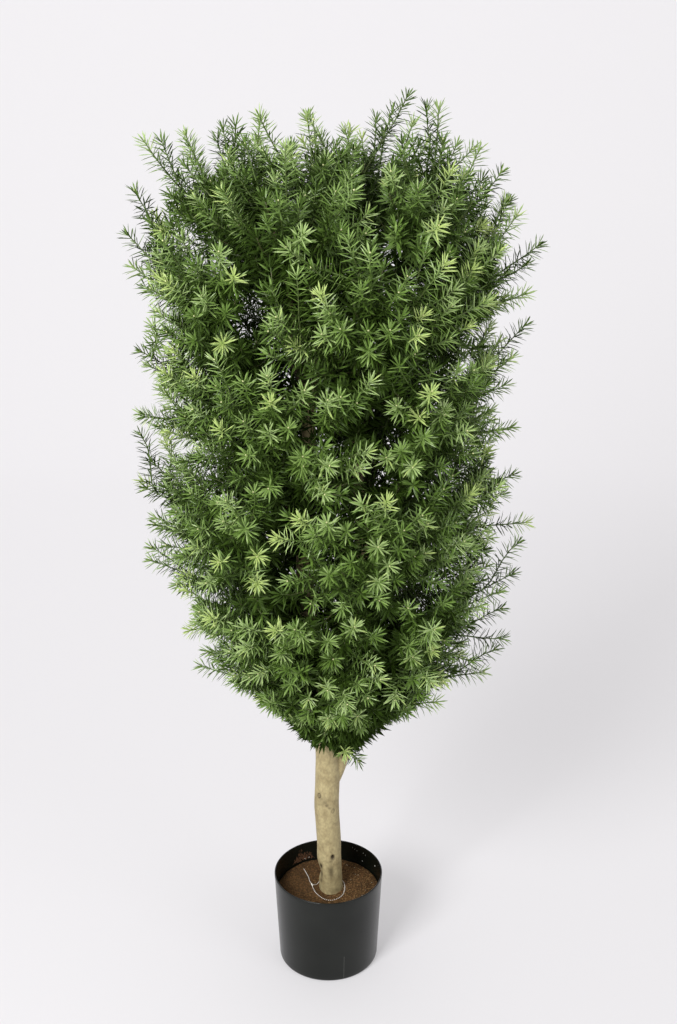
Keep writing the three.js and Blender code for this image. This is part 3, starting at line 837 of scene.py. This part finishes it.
def lay_on_wall(name, azimuth, height, size, finish):
    """Eight-faced bodies half sunk in the inner wall, flat along it."""
    r = wall_radius(height) - POT_WALL
    out = np.stack([np.cos(azimuth), np.sin(azimuth), 0 * azimuth], -1)
    along = np.stack([-np.sin(azimuth), np.cos(azimuth), 0 * azimuth], -1) * size[:, None]
    middle = out * r[:, None] + np.array([0, 0, 1.0]) * height[:, None]
    up = np.array([0, 0, 1.0]) * (size * 0.8)[:, None]
    deep = out * (size * 0.5)[:, None]
    bodies = middle[:, None] + np.stack([along, up, -along, -up, -deep, deep], 1)
    put_bodies(name, bodies, EIGHT_FACES[:, ::-1], finish)


def make_wall_marks():
    """Crumbs, thickest low down, and pale flecks on the inner wall."""
    n = np.arange(CRUMBS)
    middle, spread, low, rise = CRUMB_PATCH
    aside = chance(n, 11) + chance(n, 12) - 1
    clump = 0.5 + 0.5 * np.sin(9 * aside + 1.5) * np.sin(17 * aside)
    height = low + rise * chance(n, 13) * (0.25 + 0.75 * clump) * (1 - aside ** 2)
    lay_on_wall("wall_crumbs", np.radians(middle + spread * aside), height, dealt(CRUMB_SIZE, n, 14, 2),
                material("clinging crumb", (0.085, 0.040, 0.020), 0.9, bump=(900, 0.4), specular=0.2))
    azimuth, height, size = FLECKS.T
    lay_on_wall("wall_flecks", np.radians(azimuth), height, size,
                material("pale fleck", (0.60, 0.60, 0.55), 0.6, bump=(900, 0.3), specular=0.3))


def make_mould_line():
    """The mould's line up the pot: at each height two corners just inside the wall and a ridge between."""
    rows = []
    for z in np.linspace(*MOULD_LINE_HEIGHTS):
        r = wall_radius(z)
        half_angle = MOULD_LINE_HALF / r
        for turn, reach in ((-half_angle, r - MOULD_LINE_SUNK), (half_angle, r - MOULD_LINE_SUNK),
                            (0, r + MOULD_LINE_PROUD)):
            azimuth = MOULD_LINE_AZIMUTH + turn
            rows.append((reach * math.cos(azimuth), reach * math.sin(azimuth), z))
    finish = material("mould line", (0.11, 0.115, 0.105), 0.5, bump=(300, 0.2), specular=0.4)
    faces = turned_round(capped(MOULD_LINE_HEIGHTS[2], 3))
    put("pot_mould_line", np.array(rows), faces, finish, smooth=True)


def on_granulate(route, steps):
    """Smooth line along a route, at the height of the string's middle."""
    height = FILLING_TOP + CLEARANCE + STRING_RISE
    return through(np.column_stack([route, np.full(len(route), height)]), steps)


def make_string():
    """Beaded string: a loop and a tail of small beads on a thin core, and larger beads as the clasp.

    A bead's point is radius (sin u cos v, sin u sin v, cos u), with u cut short of the poles.
    """
    loop = on_granulate(np.concatenate([STRING_ROUTE, STRING_ROUTE[:1]]), LOOP_BEADS)
    tail = on_granulate(STRING_TAIL, TAIL_BEADS)
    clasp = even(tail[:CLASP_BEADS], CLASP_BEADS - 1)
    places = np.concatenate([loop[:-1], tail[1:], clasp])
    radius = np.repeat(BEAD_RADII, [LOOP_BEADS, TAIL_BEADS, CLASP_BEADS])
    u = np.clip(np.linspace(0, math.pi, BEAD_SIDES), BEAD_POLE, math.pi - BEAD_POLE)[:, None]
    v = np.linspace(0, 2 * math.pi, BEAD_SIDES, endpoint=False)[None, :]
    bead = np.stack([np.sin(u) * np.cos(v), np.sin(u) * np.sin(v), np.cos(u) + 0 * v], -1).reshape(-1, 3)
    points = places[:, None] + bead[None] * radius[:, None, None]
    faces = [joined(f, len(bead), len(places)) for f in turned_round(capped(BEAD_SIDES, BEAD_SIDES))]
    finish = material("string", (0.92, 0.90, 0.84), 0.4, bump=(900, 0.3),
                      spots=((0.84, 0.80, 0.72), 300, 0.4, 0.6))
    put("string_beads", points.reshape(-1, 3), faces, finish, ["string_loop"], True)
    radii = [np.full(len(line), radius) for line, radius in zip((loop, tail), CORE_RADII)]
    core, faces = tubes([loop, tail], radii, BEAD_SIDES)
    put("string_core", core, faces, finish, smooth=True)


def smooth_line(rows, heights):
    """Centre and radius at each height: a monotone cubic would sway, so straight values run through a
    moving average a few centimetres long."""
    fine = np.linspace(rows[0, 2], rows[-1, 2], SMOOTHED_ROWS)
    span = 2 * SMOOTHED_OVER + 1
    values = []
    for column in (0, 1, 3):
        v = np.interp(fine, rows[:, 2], rows[:, column])
        padded = np.pad(v, SMOOTHED_OVER, mode="reflect", reflect_type="odd")
        values.append(np.interp(heights, fine, np.convolve(padded, np.ones(span) / span, "valid")))
    return values


def bark(rows, heights, sides, seed, marks_and_shade):
    """Bark on a stem: r = r(z) + long waves + fine upright grain + marks, each
    depth * exp(-(arc / width)^2 - (rise / height)^2). Returns its points and how dark each is: the marks' own
    colour, and painted shade in the hole and at the pole's foot."""
    x, y, r = smooth_line(rows, heights)
    angle = np.linspace(0, 2 * math.pi, sides, endpoint=False)
    z = heights[:, None]
    a = angle[None, :]
    relief = (
        0.45 * np.sin(3 * a + z / 31 + seed) * np.sin(z / 47 + 1.3 * seed)
        + 0.35 * np.sin(2 * a - z / 19 + 2 * seed)
        + 0.16 * np.sin(9 * a + 2.2 * np.sin(z / 27 + seed)) * np.sin(z / 13 + 3 * np.sin(2 * a))
        + stray(0.12, np.round(angle * 40)[None, :], np.round(heights / 5)[:, None])
    )
    dark = np.zeros_like(relief)
    for azimuth, height, wide, tall, depth, tone in marks_and_shade:
        turn = np.remainder(a - math.radians(azimuth) + math.pi, 2 * math.pi) - math.pi
        off = ((turn * r[:, None]) / wide) ** 2 + ((z - height) / tall) ** 2
        near = np.exp(-off)
        relief = relief + depth * near
        if depth > SCAR_RISE and tone > SCAR_DARK:
            groove_depth, groove_width = SCAR_GROOVE
            from_ring = np.sqrt(off) - SCAR_RING
            relief = relief - groove_depth * np.exp(-(from_ring / groove_width) ** 2)
            near = np.maximum(SCAR_MIDDLE * near, np.exp(-(from_ring / SCAR_RING_WIDTH) ** 2))
        dark = np.maximum(dark, tone * near)
    radius = r[:, None] + relief
    points = np.stack([
        x[:, None] + radius * np.cos(a), y[:, None] + radius * np.sin(a), np.broadcast_to(z, radius.shape),
    ], -1)
    return points, np.minimum(dark, 1)


def bark_material():
    """Pale olive-tan bark: blotches and upright grain by noise, marks and painted shade darkened by the
    attribute "dark".
    """
    made = material("smooth bark", (0.432, 0.358, 0.190), 0.62, bump=(300, 0.5), stretch=(1, 1, 0.7),
                    spots=((0.330, 0.265, 0.136), 85, 0.40, 0.66), specular=0.3)
    nodes = made.node_tree.nodes
    blotches = next(n for n in nodes if n.type == "VALTORGB").outputs["Color"]
    place = next(n for n in nodes if n.type == "MAPPING").outputs["Vector"]
    grain = add_node(made, "MapRange", {**BARK_GRAIN, "Value": noise_on(made, place, *GRAIN_NOISE)})
    mark_and_shade = add_node(made, "Attribute", {})
    mark_and_shade.attribute_name = "dark"
    shaded = mixed(made, "MULTIPLY", 1, blotches, grain.outputs["Result"])
    marked_and_shaded = mixed(made, "MIX", mark_and_shade.outputs["Fac"], shaded, MARK_AND_SHADE_COLOUR)
    feed(made, nodes["Principled BSDF"].inputs["Base Color"], marked_and_shaded)
    return made


def make_wood():
    """Pole and fork with the bark's relief, fine where they show and coarser in the foliage."""
    finish = bark_material()
    for name, node, rows, heights, sides, seed, marks_and_shade in (
        ("pole", "trunk", POLE, POLE_HEIGHTS, POLE_SIDES, 1.0, POLE_MARKS_AND_SHADE),
        ("fork", "fork_stem", FORK, FORK_HEIGHTS, FORK_SIDES, 4.0, FORK_MARKS),
    ):
        points, dark = bark(rows, heights, sides, seed, marks_and_shade)
        put(name, points.reshape(-1, 3), capped(len(heights), sides), finish, [node], True,
            {"dark": dark})


OUTLINE_WALK = walked(OUTLINE)


def outline_at(share):
    """Reach and height of the outline at a share of its length."""
    at = share * OUTLINE_WALK[-1]
    return np.interp(at, OUTLINE_WALK, OUTLINE[:, 0]), np.interp(at, OUTLINE_WALK, OUTLINE[:, 1])


def shift_at(height, reach):
    """Sideways shift of the axis: it grows from the wood outwards."""
    return AXIS_X + table(LOW_SHIFT, height) * np.minimum(1, reach / SHIFT_REACH)


def on_outline(azimuth, reach, height):
    """(shift + reach cos azimuth, reach sin azimuth, height)."""
    return np.array([shift_at(height, reach) + reach * math.cos(azimuth), reach * math.sin(azimuth), height])


def from_axis(point):
    """Azimuth and reach of a point about the shifted axis."""
    rough = math.hypot(point[0] - AXIS_X, point[1])
    x = point[0] - shift_at(point[2], rough)
    return math.atan2(point[1], x), math.hypot(x, point[1])


def spray_direction(tip):
    """Outwards at the tip's azimuth, and up by the rise at its height."""
    azimuth, _ = from_axis(tip)
    rise = math.radians(table(SPRAY_RISE, tip[2]))
    return np.array([math.cos(azimuth) * math.cos(rise), math.sin(azimuth) * math.cos(rise), math.sin(rise)])


def make_masses():
    """The masses of foliage, as in the solids: each with its azimuth, half angle and stretch of outline."""
    found = []
    low = 0.0
    for level, tier in enumerate([*TIERS, TOP]):
        top = level == len(TIERS)
        around = 1 if top else MASSES_ROUND
        for i in range(around):
            mass = dict(zip(TIER_VALUES, tier), level=level, top=top, low=low, half=math.pi / around)
            mass["azimuth"] = math.radians(mass["turn"] + 360 / around * i)
            mass["name"] += "" if top else f"_{i + 1}"
            mass["seed"] = TOP_SEED if top else level * TIER_SEEDS + i + FIRST_SEED
            found.append(mass)
        low = mass["up_to"]
    return found


def along_outline(mass, share):
    """Reach and height at a share of a mass's own stretch of outline."""
    return outline_at(mass["low"] + (mass["up_to"] - mass["low"]) * share)


def pattern(mass, rows, seed, strays):
    """Tips in rows and columns over a mass's stretch of outline, each strayed by chance."""
    tips = []
    up_stray, side_stray = strays
    for row, columns in enumerate(rows):
        for column in range(columns):
            n = len(tips)
            up = (row + 0.5 + stray(up_stray, seed, n)) / len(rows)
            stagger = ROW_STAGGER if row % 2 else -ROW_STAGGER
            across = (column + 0.5 + stagger + stray(side_stray, seed, n + 20)) / columns
            azimuth = mass["azimuth"] + mass["half"] * (2 * across - 1)
            reach, height = along_outline(mass, up)
            tips.append(on_outline(azimuth, reach * dealt(TIP_REACH, seed, n + 40), height))
    return tips


def tier_floor(level, reach):
    """Height of the sloping surface under a tier: straight from the wood out to the outline."""
    if level == 0:
        return FOLIAGE_FLOOR
    at_wood = TIERS[level][2] - TIER_DROP if level < len(TIERS) else TOP_ROOT
    edge_reach, edge_height = outline_at(TIERS[level - 1][4])
    return at_wood + (edge_height - at_wood) * reach / edge_reach


def holds(mass, point):
    """Whether the space of a mass holds the point: its tier's slice of height and its sector of azimuth."""
    azimuth, reach = from_axis(point)
    if point[2] < tier_floor(mass["level"], reach):
        return False
    if mass["top"]:
        return True
    turn = math.remainder(azimuth - mass["azimuth"], 2 * math.pi)
    below = point[2] <= tier_floor(mass["level"] + 1, reach)
    return below and reach >= mass["reach"] + CLEARANCE and abs(turn) < mass["half"]


def leading_tips(mass):
    """The mass's own tips, with the nearest free one moved out to each leading tip in its space."""
    tips = pattern(mass, mass["rows"], mass["seed"], LEADING_STRAY)
    free = list(range(len(tips)))
    for x, z in LEADING_TIPS:
        lead = np.array([x, 0.0, z])
        if free and holds(mass, lead):
            free.sort(key=lambda i: np.linalg.norm(tips[i] - lead))
            tips[free.pop(0)] = lead
    return tips


def in_hollow(point, less=0.0):
    """Whether a point lies within a hollow's radius, less a margin, of its place on the outline."""
    _, reach = from_axis(point)
    return any(
        np.linalg.norm(point - on_outline(math.radians(a), reach, z)) < r - less for a, z, r in HOLLOWS)


def in_opening(points):
    """Whether each point is nearer to an opening's line than its radius: |p - a - t (b - a)|, t cut to
    0..1."""
    found = np.zeros(len(points), bool)
    for one, other, radius in OPENINGS:
        one, along = np.array(one, float), np.subtract(other, one).astype(float)
        t = np.clip((points - one) @ along / (along @ along), 0, 1)
        found |= np.linalg.norm(points - one - t[:, None] * along, axis=1) < radius
    return found


def core_of(mass):
    """Middle of a mass's core below its patch of outline, and its directions across and up the patch."""
    share = mass["low"] + (mass["up_to"] - mass["low"]) * (1 if mass["top"] else 0.5)
    reach, height = outline_at(share)
    before, after = outline_at(share - SLOPE_STEP), outline_at(share + SLOPE_STEP)
    slope = 0 if mass["top"] else math.atan2(after[1] - before[1], before[0] - after[0])
    a = mass["azimuth"]
    face = on_outline(a, reach, height)
    middle = face - spray_direction(face) * mass["depth"] - np.array([0, 0, mass["drop"]])
    across = np.array([-math.sin(a), math.cos(a), 0])
    up = np.array([-math.cos(a) * math.cos(slope), -math.sin(a) * math.cos(slope), math.sin(slope)])
    return middle, across, up


def bough_line(mass):
    """Controls of a bough: it leaves the nearer stem and sags a little on its way to its mass's core. Under
    the top it is the pole's own end."""
    if mass["top"]:
        return POLE[-3:, :3]
    middle, _, _ = core_of(mass)
    height = mass["root"] + stray(BOUGH_STRAY, mass["seed"], 5)
    roots = []
    for rows in (POLE, FORK):
        if rows[0, 2] < height - BOUGH_END and rows[-1, 2] > height + BOUGH_END:
            x, y, _ = stem_at(rows, height)
            roots.append(np.array([x, y, height]))
    root = min(roots, key=lambda p: np.linalg.norm(p - middle))
    end = root + (middle - root) * (1 - STEM_SHARE)
    control = (root + end) / 2 - np.array([0, 0, BOUGH_SAG * np.linalg.norm(end - root)])
    return np.stack([root, control, end])


def stem_line(mass, bough):
    """Controls of the mass's stem: it goes on from the bough's end to the middle of the core."""
    middle, _, _ = core_of(mass)
    way = unit(bough[2] - bough[1])
    foot = bough[2] + way * CLEARANCE
    return np.stack([foot, foot + way * np.linalg.norm(middle - foot) / 2, middle])


def leading_twig(mass, tip, stem, seed):
    """Leading twig from the stem by way of its root in the core to the tip, by the solids' own rule."""
    middle, across, up = core_of(mass)
    half_across, half_up = mass["core"]
    offset = tip - middle
    a, b = offset @ across / half_across, offset @ up / half_up
    spread = ROOT_SPREAD / max(1, math.hypot(a, b))
    root = middle + across * a * spread * half_across + up * b * spread * half_up
    direction = unit(spray_direction(tip) + unit(offset))
    end = tip - direction * TUFT
    control = end - direction * TWIG_END * np.linalg.norm(end - root)
    start = at_share(stem, dealt(TWIG_START, seed, 3))
    line = bezier(np.stack([start, root, control, end]), np.linspace(0, 1, 4 * SHOOT_STEPS))
    return even(line, 2 * SHOOT_STEPS)


def inward(mass, tip, depth):
    """A tip moved in to a share of its reach, at the same part of the height of its tier there.

    Under the top of the outline it moves straight towards the foot of the top mass.
    """
    azimuth, reach = from_axis(tip)
    reach *= depth
    if mass["level"] >= len(TIERS) - 1:
        return on_outline(azimuth, reach, TOP_ROOT + (tip[2] - TOP_ROOT) * depth)
    low, high = (outline_at(mass[end])[1] for end in ("low", "up_to"))
    floor = tier_floor(mass["level"], reach) if mass["level"] else table(OUTLINE[:LOW_ROWS], reach)
    ceiling = tier_floor(mass["level"] + 1, reach)
    return on_outline(azimuth, reach, floor + (ceiling - floor) * (tip[2] - low) / (high - low))


def drawn_in(tip, layer, seed):
    """A tip short of the outline: at the right and the top, and on the outermost layer by chance too."""
    azimuth, reach = from_axis(tip)
    near_top = np.interp(tip[2], TOP_HEIGHTS, (0, 1))
    short, drop = SHORT_AT_RIGHT * max(0, math.cos(azimuth)), TOP_DROP
    if layer == 0:
        short += SHORT_OF_OUTLINE * chance(seed, 61)
        drop += TOP_NOTCH * chance(seed, 60)
    return on_outline(azimuth, reach * (1 - short), tip[2] - drop * near_top)


def lets_light_in(tip, seed):
    """Whether an inner shoot is left out, by chance: share cos^2 azimuth, by the side that it is on."""
    sideways = math.cos(from_axis(tip)[0])
    share = LIGHT_AT_LEFT if sideways < 0 else LIGHT_AT_RIGHT
    return chance(seed, 63) < share * sideways ** 2


def side_shoot(stations, ways, tip, upright, lean):
    """Shoot to a tip from the station d away whose score is least: |d / length - 1| + cost (1 - cos angle)
    + upright (1 - rise / d).

    It leaves along the station's way and ends along the spray direction, turned up by its uprightness,
    with a lean to the side.
    """
    offset = tip - stations
    far = np.maximum(np.linalg.norm(offset, axis=1), 1)
    score = np.abs(far / SHOOT_LENGTH - 1) + TURN_COST * (1 - np.sum(offset * ways, 1) / far)
    best = int(np.argmin(score + upright * (1 - offset[:, 2] / far)))
    root, way = stations[best], ways[best]
    outwards = unit(spray_direction(tip) + FOOT_PULL * unit(tip - root))
    azimuth, _ = from_axis(tip)
    upwards = np.array([-math.sin(azimuth) * lean, math.cos(azimuth) * lean, 1.0])
    direction = unit(outwards * (1 - upright) + upwards * upright)
    end = tip - direction * TUFT
    length = np.linalg.norm(end - root)
    at_foot = root + way * FOOT_CONTROL * length
    at_end = end - direction * END_CONTROL * length
    controls = np.stack([root, at_foot, at_end, end])
    return even(bezier(controls, np.linspace(0, 1, 3 * SHOOT_STEPS)), SHOOT_STEPS)


def layer_tips(mass, layer, leads):
    """Tips of one layer of finer shoots, each with the seed of its shoot.

    They stand over the outline, or over a smaller copy of the mass inside it, clear of hollows and leads.
    """
    spacing, depth, _ = LAYERS[layer]
    if mass["level"] < LOW_TIERS and layer > INNER_FROM:
        spacing *= LOW_SPACING
    count = max(1, round((mass["up_to"] - mass["low"]) * OUTLINE_WALK[-1] / spacing))
    reaches = along_outline(mass, (np.arange(count) + 0.5) / count)[0]
    rows = [max(1, round(reach * depth * 2 * mass["half"] / spacing)) for reach in reaches]
    seed = mass["seed"] * SHOOT_SEEDS + LAYER_SEEDS * (layer + 1)
    for n, tip in enumerate(pattern(mass, rows, seed, FINE_STRAY)):
        own = seed + n + LAYER_SHIFT * (layer + 1)
        if layer >= INNER_FROM:
            tip = inward(mass, tip, depth)
            if lets_light_in(tip, own):
                continue
        elif in_hollow(tip, HOLLOW_FILL):
            continue
        if layer < INNERMOST_FROM:
            tip = drawn_in(tip, layer, own)
        if layer == 0 and np.linalg.norm(leads - tip, axis=1).min() < LEAD_ROOM * spacing:
            continue
        tip[2] += np.interp(tip[2], SKIRT_HEIGHTS, SKIRT_LIFTS)
        yield tip, own


def grow(mass):
    """All shoots of one mass as (line, layer, seed), with the line of its bough and stem.

    The leading twigs leave the stem, and the other shoots leave the twigs and the limb where that suits them
    best. A leading tip in the plane of the pole and fork keeps its height.
    """
    controls = bough_line(mass)
    stem = even(bezier(stem_line(mass, controls), np.linspace(0, 1, LIMB_STEPS)), SHOOT_STEPS)
    limb = stem
    if not mass["top"]:
        limb = np.concatenate([bezier(controls, np.linspace(0, 1, LIMB_STEPS)), stem[1:]])
    limb = even(limb, 2 * SHOOT_STEPS)
    first = mass["seed"] * SHOOT_SEEDS
    shoots = []
    for n, tip in enumerate(leading_tips(mass)):
        if not in_hollow(tip):
            seed = first + n
            if tip[1]:
                tip[2] += np.interp(tip[2], SKIRT_HEIGHTS, SKIRT_LIFTS)
            shoots.append((leading_twig(mass, tip, stem, seed), LEADING, seed))
    lines = [limb] + [line for line, _, _ in shoots]
    stations = np.concatenate([line[2:-3] for line in lines])
    ways = np.concatenate([unit(np.gradient(line, axis=0))[2:-3] for line in lines])
    leads = np.array([line[-1] for line in lines[1:]])
    for n, tip in enumerate([*(np.array([x, 0.0, z]) for x, z in SIDE_TIPS), *HANGING_TIPS]):
        if holds(mass, tip):
            shoots.append((side_shoot(stations, ways, tip, 0.0, 0.0), 0, first + SIDE_SEEDS + n))
    for layer, (_, _, upright) in enumerate(LAYERS):
        for tip, seed in layer_tips(mass, layer, leads):
            line = side_shoot(stations, ways, tip, upright, stray(LEAN_STRAY, seed, 62))
            shoots.append((line, layer, seed))
    return limb, shoots


def needle_places(line, seed, kind):
    """Bases, ways, tangents and sizes of a shoot's needles, in whorls from its bare foot to the tuft.

    Whorl k stands pitch (k - closing (1 - e^(-k / tuft))) behind the tip, so the first ones make the tuft.
    A needle's lean from the twig grows with that distance.
    """
    t, n, b = across_line(line)
    step = np.linalg.norm(line[1] - line[0])
    length = step * (len(line) - 1)
    clothed = min(length - BARE_FOOT, NEEDLED_LENGTH)
    pitch, each = WHORL_PITCH[kind], WHORL_NEEDLES[kind]
    whorls = max(LEAST_WHORLS, int(clothed / pitch + TUFT_CLOSING))
    number = np.arange(whorls * each)
    k = number // each
    closed = k - TUFT_CLOSING * (1 - np.exp(-k / TUFT_WHORLS))
    back = FIRST_WHORL + closed * pitch + stray(WHORL_STRAY, seed, number) * (k > 1)
    x = np.clip((length - back) / step, 0, len(line) - 1.001)
    i = x.astype(int)
    f = (x - i)[:, None]
    base = line[i] * (1 - f) + line[i + 1] * f
    lean = np.interp(back, LEAN_PLACES, LEANS) + stray(LEAN_VARIES, seed, number + 500)
    lean = np.radians(lean)[:, None]
    around = 2 * math.pi * (number % each) / each + k * WHORL_TURN
    around = (around + stray(TURN_STRAY, seed, number + 1000))[:, None]
    out = n[i] * np.cos(around) + b[i] * np.sin(around)
    way = t[i] * np.cos(lean) + out * np.sin(lean)
    size = NEEDLE_LENGTH[kind] * dealt(LENGTH_VARIES, seed, number + 1500)
    size *= np.interp(back, [0, TUFT_LENGTH_TO], [TUFT_LENGTH, 1])
    roll = stray(ROLL_VARIES, seed, number + 2000)
    curl = -t[i] * CURL * chance(seed, number + 2500)[:, None] + NEEDLE_SAG
    return base, way, t[i], size, roll, curl, back


def needles(base, way, tangent, length, roll, curl, half_width, full):
    """Corners of each needle. Middle line at share u: base + way length u + curl length u^2.

    A section has its two edges a half width to either side across the whorl, and its ridge above, towards
    the spray's tip.
    """
    sideways = unit(np.cross(tangent, way))
    upwards = np.cross(way, sideways)
    cos, sin = np.cos(roll)[:, None], np.sin(roll)[:, None]
    across, upper = sideways * cos + upwards * sin, upwards * cos - sideways * sin

    def middle(u):
        return base + way * (length * u)[:, None] + curl * (length * u * u)[:, None]

    def section(u, wide):
        return [middle(u) + across * wide, middle(u) - across * wide, middle(u) + upper * NEEDLE_RIDGE]

    if not full:
        return np.stack([middle(0.0), *section(PLAIN_SECTION, half_width), middle(1.0)], 1)
    base_corners = section(BASE_SECTION, BASE_WIDTH * half_width)
    return np.stack([*base_corners, *section(WIDEST_SECTION, half_width), middle(1.0)], 1)


def tone_of(layer, seed, back, deep_and_shade_share):
    """Tone number of each needle: by layer, darker inwards as painted shade; by chance, with a share of
    deeper shoots that adds painted light and shade by tier and side; lighter in its shoot's last stretch,
    some duller.
    """
    deal = chance(seed, 77)
    lighter = int(deal > LIGHTER_FROM and layer < LIGHTER_BEFORE)
    tone = np.full(len(back), max(0, LAYER_TONES[layer] + lighter - int(deal < deep_and_shade_share)))
    own = chance(seed, np.arange(len(back)) + 3000)
    tone[own > DULL_FROM] -= 1
    tone[own > DULLEST_FROM] -= 1
    tone[own < LIVELY_TO] += 1
    if layer < INNER_FROM:
        tone[(back > DULL_STRETCH) & (own < DULL_SHARE)] -= 1
        tone[back < LIGHT_END] += 1
        if chance(seed, 78) > NEW_TIP_FROM:
            tone[back < NEW_STRETCH] += 1
            tone[back < NEW_TIP] = LIME
    return np.clip(tone, 0, LIME)


def deep_and_shade_share(mass, tip):
    """Share of deeper shoots in a mass's tier, with what the side that the tip is on adds to it: painted
    light and shade by tier and side over a chance deal.
    """
    sideways = math.cos(from_axis(tip)[0])
    added = SHADE_AT_RIGHT if sideways > 0 else LIGHT_AND_SHADE_AT_LEFT
    return DEEP_AND_SHADE_SHARES[mass["level"]] + added[mass["level"]] * abs(sideways)


def off_wood(points):
    """Whether each point stands off both stems."""
    free = np.ones(len(points), bool)
    for rows in (POLE, FORK):
        x, y, r = stem_at(rows, points[:, 2])
        free &= np.hypot(points[:, 0] - x, points[:, 1] - y) > r + OFF_WOOD
    return free


def needle_forms(mass, shoots):
    """Corners of the needles of a mass, as (full, tone number, corners) for each shoot, form and tone."""
    for line, layer, seed in shoots:
        kind = 0 if layer < INNER_FROM else 1 if layer < INNERMOST_FROM else 2
        base, way, t, size, roll, curl, back = needle_places(line, seed, kind)
        tip = base + way * size[:, None]
        free = off_wood(base) & off_wood(tip) & ~in_opening(base) & ~in_opening(tip)
        tones = tone_of(layer, seed, back, deep_and_shade_share(mass, line[-1]))
        in_full = (back < FULL_FORM_LENGTH) & (kind == 0)
        for full in (True, False):
            own = free & (in_full == full)
            half_width = NEEDLE_HALF_WIDTH[kind] if full or kind else BEHIND_HALF_WIDTH
            points = needles(base, way, t, size, roll, curl, half_width, full)
            for tone in np.unique(tones[own]):
                yield full, int(tone), points[own & (tones == tone)]


def make_needles(masses, shoots):
    """Needles of every mass joined by tone and form, in pieces that stay under the limit of faces."""
    forms = {}
    for mass, grown in zip(masses, shoots):
        for full, tone, points in needle_forms(mass, grown):
            forms.setdefault((tone, full), []).append(points)
    nodes = [f"foliage_{mass['name']}" for mass in masses]
    for tone, (name, (colour, roughness, gloss)) in enumerate(TONES.items()):
        finish = material(f"needles {name}", colour, roughness, bump=(900, 0.25), specular=gloss)
        for where, full, faces in (("outer", True, FULL_FACES), ("inner", False, PLAIN_FACES)):
            if (tone, full) not in forms:
                continue
            points = np.concatenate(forms[tone, full])
            parts = math.ceil(len(points) * len(faces) / PIECE_LIMIT)
            for part, few in enumerate(np.array_split(points, parts)):
                put_bodies(f"needles_{name}_{where}_{part + 1}", few, faces, finish, nodes)
                nodes = []


def make_buds(shoots):
    """Eight-faced bud at the tip of some outer shoots: 4 corners at its half width across the way, and 2 at
    its half length."""
    lines = [line for grown in shoots for line, layer, seed in grown
             if layer < INNER_FROM and chance(seed, 79) < BUD_SHARE]
    ways = unit(np.array([line[-1] - line[-2] for line in lines]))
    places = np.array([line[-1] for line in lines]) + ways * BUD_PAST_TIP
    side = unit(np.cross(ways, [0.3, 0.2, 1.0]))
    other = np.cross(ways, side)
    wide, tall = BUD_SIZE
    arms = [side * wide, other * wide, -side * wide, -other * wide, ways * tall, -ways * tall]
    finish = material("bud", (0.74, 0.74, 0.40), 0.4, bump=(900, 0.2), specular=0.4)
    put_bodies("tip_buds", places[:, None] + np.stack(arms, 1), EIGHT_FACES, finish)


def make_twigs(shoots):
    """Twigs as thin tubes that taper to the tip, the outer and the inner ones apart, the inner ones in a
    darker colour that is painted shade inside the crown.
    """
    for where, (green, spot) in TWIG_COLOURS.items():
        lines, radii = [], []
        for line, layer, _ in (shoot for grown in shoots for shoot in grown):
            if (layer < INNER_FROM) != (where == "outer"):
                continue
            steps, foot = FINE_TWIG_STEPS, FINE_TWIG_FOOT
            if layer == LEADING:
                steps, foot = LEADING_TWIG_STEPS, LEADING_TWIG_FOOT
            lines.append(even(line, steps))
            radii.append(np.linspace(foot, TWIG_TIP, steps + 1))
        finish = material(f"twig {where}", green, 0.5, bump=(700, 0.3), spots=(spot, 60, 0.45, 0.6))
        points, faces = tubes(lines, radii, TWIG_SIDES)
        put(f"twigs_{where}", points, faces, finish, smooth=True)


def make_boughs(masses, limbs):
    """Boughs with the stems that go on from them, as tapering tubes."""
    finish = material("moulded bough", (0.055, 0.034, 0.018), 0.55, bump=(300, 0.5),
                      spots=((0.10, 0.07, 0.04), 45, 0.4, 0.65), stretch=(1, 1, 0.3))
    radii = [np.linspace(*BOUGH_RADII, len(limb)) for limb in limbs]
    points, faces = tubes(limbs, radii, BOUGH_SIDES)
    nodes = [f"bough_{mass['name']}" for mass in masses if not mass["top"]]
    put("boughs", points, faces, finish, nodes, smooth=True)


def make_foliage():
    """Boughs, twigs, buds and needles of every mass, joined each kind apart."""
    masses = make_masses()
    limbs, shoots = zip(*(grow(mass) for mass in masses))
    make_needles(masses, shoots)
    make_buds(shoots)
    make_twigs(shoots)
    make_boughs(masses, limbs)


make_camera()
make_stage()
make_lights()
make_pot()
make_filling()
make_wall_marks()
make_mould_line()
make_string()
make_wood()
make_foliage()
bpy.context.scene.view_settings.view_transform = "Standard"
